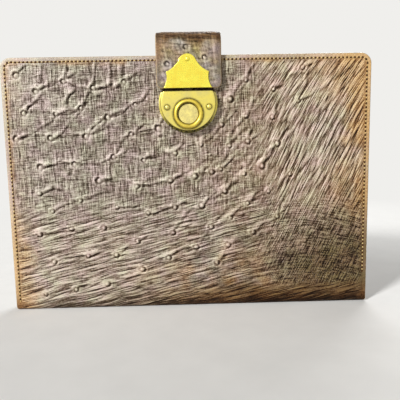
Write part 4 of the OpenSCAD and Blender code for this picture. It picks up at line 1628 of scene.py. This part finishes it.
def add_camera():
    data = bpy.data.cameras.new("camera")
    data.lens = LENS
    data.sensor_width = SENSOR
    data.clip_start = 0.01
    data.clip_end = 50
    bpy.context.scene.camera = stand("camera", data, CAMERA_AT * MM, *camera_axes())


add_camera()


# Pieces

def mouth_blend(piece):
    """Bakes the piece's placement into its mesh."""
    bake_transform(piece)


def fold_blend(piece):
    """Bakes the piece's placement into its mesh."""
    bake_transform(piece)


def strap_blend(piece):
    """Bakes the piece's placement into its mesh."""
    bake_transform(piece)


def edge_seam(left_low, right_low):
    """The line of the stitches round the edge of a panel."""
    line = edge_line(left_low, right_low)
    return np.stack([line[:, k] + STITCH_IN * line[:, k + 2] for k in range(2)], axis=-1)


def strap_seam():
    """The line of the stitches round the sewn end of the strap."""
    half = STRAP_HALF - STITCH_IN
    return [(-half, STRAP_SEAM_TOP), (-half, STITCH_IN), (half, STITCH_IN), (half, STRAP_SEAM_TOP)]


SIDES = {"front": -1, "back": 1}

front_piece, front_shell = front_hide()
finish_piece(front_piece, coats["quill_hide"], "hide", mouth_blend, "front_panel")
back_piece, back_shell = back_hide()
finish_piece(back_piece, coats["quill_hide"], "hide", "back", "back_panel", "bottom_fold")
strap_piece, strap_shell = strap()
strap_nodes = ("strap_back", "strap_bend", "strap_front")
finish_piece(strap_piece, coats["strap_hide"], "strap_hide", strap_blend, *strap_nodes)

for body, side in SIDES.items():
    finish_piece(turn_in(body + "_turn_in", side), coats["turned_hide"], "hide", body)
for body, side in SIDES.items():
    lining = lining_sheet(body + "_lining_sheet", side)
    finish_piece(lining, coats["lining_suede"], "lining", body, body + "_lining")
finish_piece(bottom_lining(), coats["lining_suede"], "lining", "back", "bottom_lining")
for end, side in (("left", -1), ("right", 1)):
    fold = gusset(end + "_fold", side)
    finish_piece(fold, coats["gusset_leather"], "gusset", fold_blend, end + "_gusset")

seam("front_stitches", front_shell, edge_seam(*FRONT_SEAM_LOW), mouth_blend)
seam("back_stitches", back_shell, edge_seam(*BACK_SEAM_LOW), "back")
seam("strap_stitches", strap_shell, strap_seam(), "back")

lock_case(coats["aged_brass"])
button_ring(coats["ring_brass"])
press_button(coats["button_brass"])
lock_spots = [(-RIVET_X, RIVET_UP), (RIVET_X, RIVET_UP)]
lock_fit = (LOCK_DEPTH, LOCK_DEPTH + RIVET_IN)
rivets("face_rivets", lock_spots, *lock_fit, coats["aged_brass"], "aged_brass", "front", "lock_rivets")
lobe_spot = [(0.0, HASP_RIVET_Z - LOCK_Z)]
lobe_fit = (HASP_Y + HASP_T - CASE_Y, HASP_T + STRAP_AND_PLATE)
rivets("lobe_rivet", lobe_spot, *lobe_fit, coats["bright_brass"], "bright_brass", "tab", "hasp_rivet")
hasp(coats["bright_brass"])
springs(steel)


# Studio
BACKDROP = (240, 239, 236)
FLOOR_HALF = 3000.0
# Distances in metres between which the floor runs into the backdrop
FLOOR_FADE = (0.22, 0.75)
SKY_COLOUR = (1.0, 0.99, 0.97, 1)
SKY_LEVEL = 0.11


def add_floor():
    """Pale paper that takes the object's shadow, and runs into the backdrop away from it."""
    s = Shader("floor_paper")
    grain = s.cloud(s.object_mm(), 30, 3, 0.5)
    paper = s.ramp(grain, (0.3, (226, 225, 222)), (0.7, (231, 230, 227)))
    s.set(Base_Color=paper, Roughness=0.9, Specular_IOR_Level=0.2)
    place = s.node("TexCoord").outputs["Object"]
    reach = s.node("VectorMath", {0: place}, operation="LENGTH").outputs["Value"]
    seen = s.rays("Is Camera Ray", "Is Glossy Ray")
    share = s.math("MULTIPLY", s.ranged(reach, *FLOOR_FADE), seen)
    glow = s.node("Emission", {"Color": linear(*BACKDROP)}).outputs["Emission"]
    surface = s.both(share, s.surface.outputs["BSDF"], glow)
    s.plug(s.tree.nodes["Material Output"].inputs["Surface"], surface)
    half = FLOOR_HALF
    points = np.array([(-half, -half, 0), (half, -half, 0), (half, half, 0), (-half, half, 0)])
    floor = mesh_object("floor", [(points, [(0, 1, 2, 3)])])
    floor.data.materials.append(s.material)


def add_world():
    """Even light all round. The camera and reflections see the pale backdrop."""
    world = bpy.data.worlds.new("studio")
    bpy.context.scene.world = world
    world.use_nodes = True
    s = Nodes(world.node_tree)
    s.tree.nodes.clear()
    light = s.node("Background", {"Color": SKY_COLOUR, "Strength": SKY_LEVEL}).outputs[0]
    pale = s.node("Background", {"Color": linear(*BACKDROP), "Strength": 1.0}).outputs[0]
    seen = s.rays("Is Camera Ray", "Is Glossy Ray", "Is Transmission Ray")
    s.node("OutputWorld", {"Surface": s.both(seen, light, pale)})


def add_lamp(name, place, aim, size, power):
    data = bpy.data.lights.new(name, "AREA")
    data.shape = "RECTANGLE"
    data.size, data.size_y = size
    data.energy = power
    ahead = np.array(aim) - np.array(place)
    ahead /= np.linalg.norm(ahead)
    side = np.cross(ahead, (0.0, 0.0, 1.0))
    side /= np.linalg.norm(side)
    stand(name, data, place, side, np.cross(side, ahead), ahead)


add_floor()
add_world()
add_lamp("key", (-1.80, -1.85, 1.65), (0.0, 0.0, 0.10), (0.48, 0.44), 106.0)
add_lamp("rear", (0.4, 0.9, 0.8), (0.0, 0.0, 0.10), (0.8, 0.5), 10.0)

bpy.context.scene.view_settings.view_transform = "Standard"
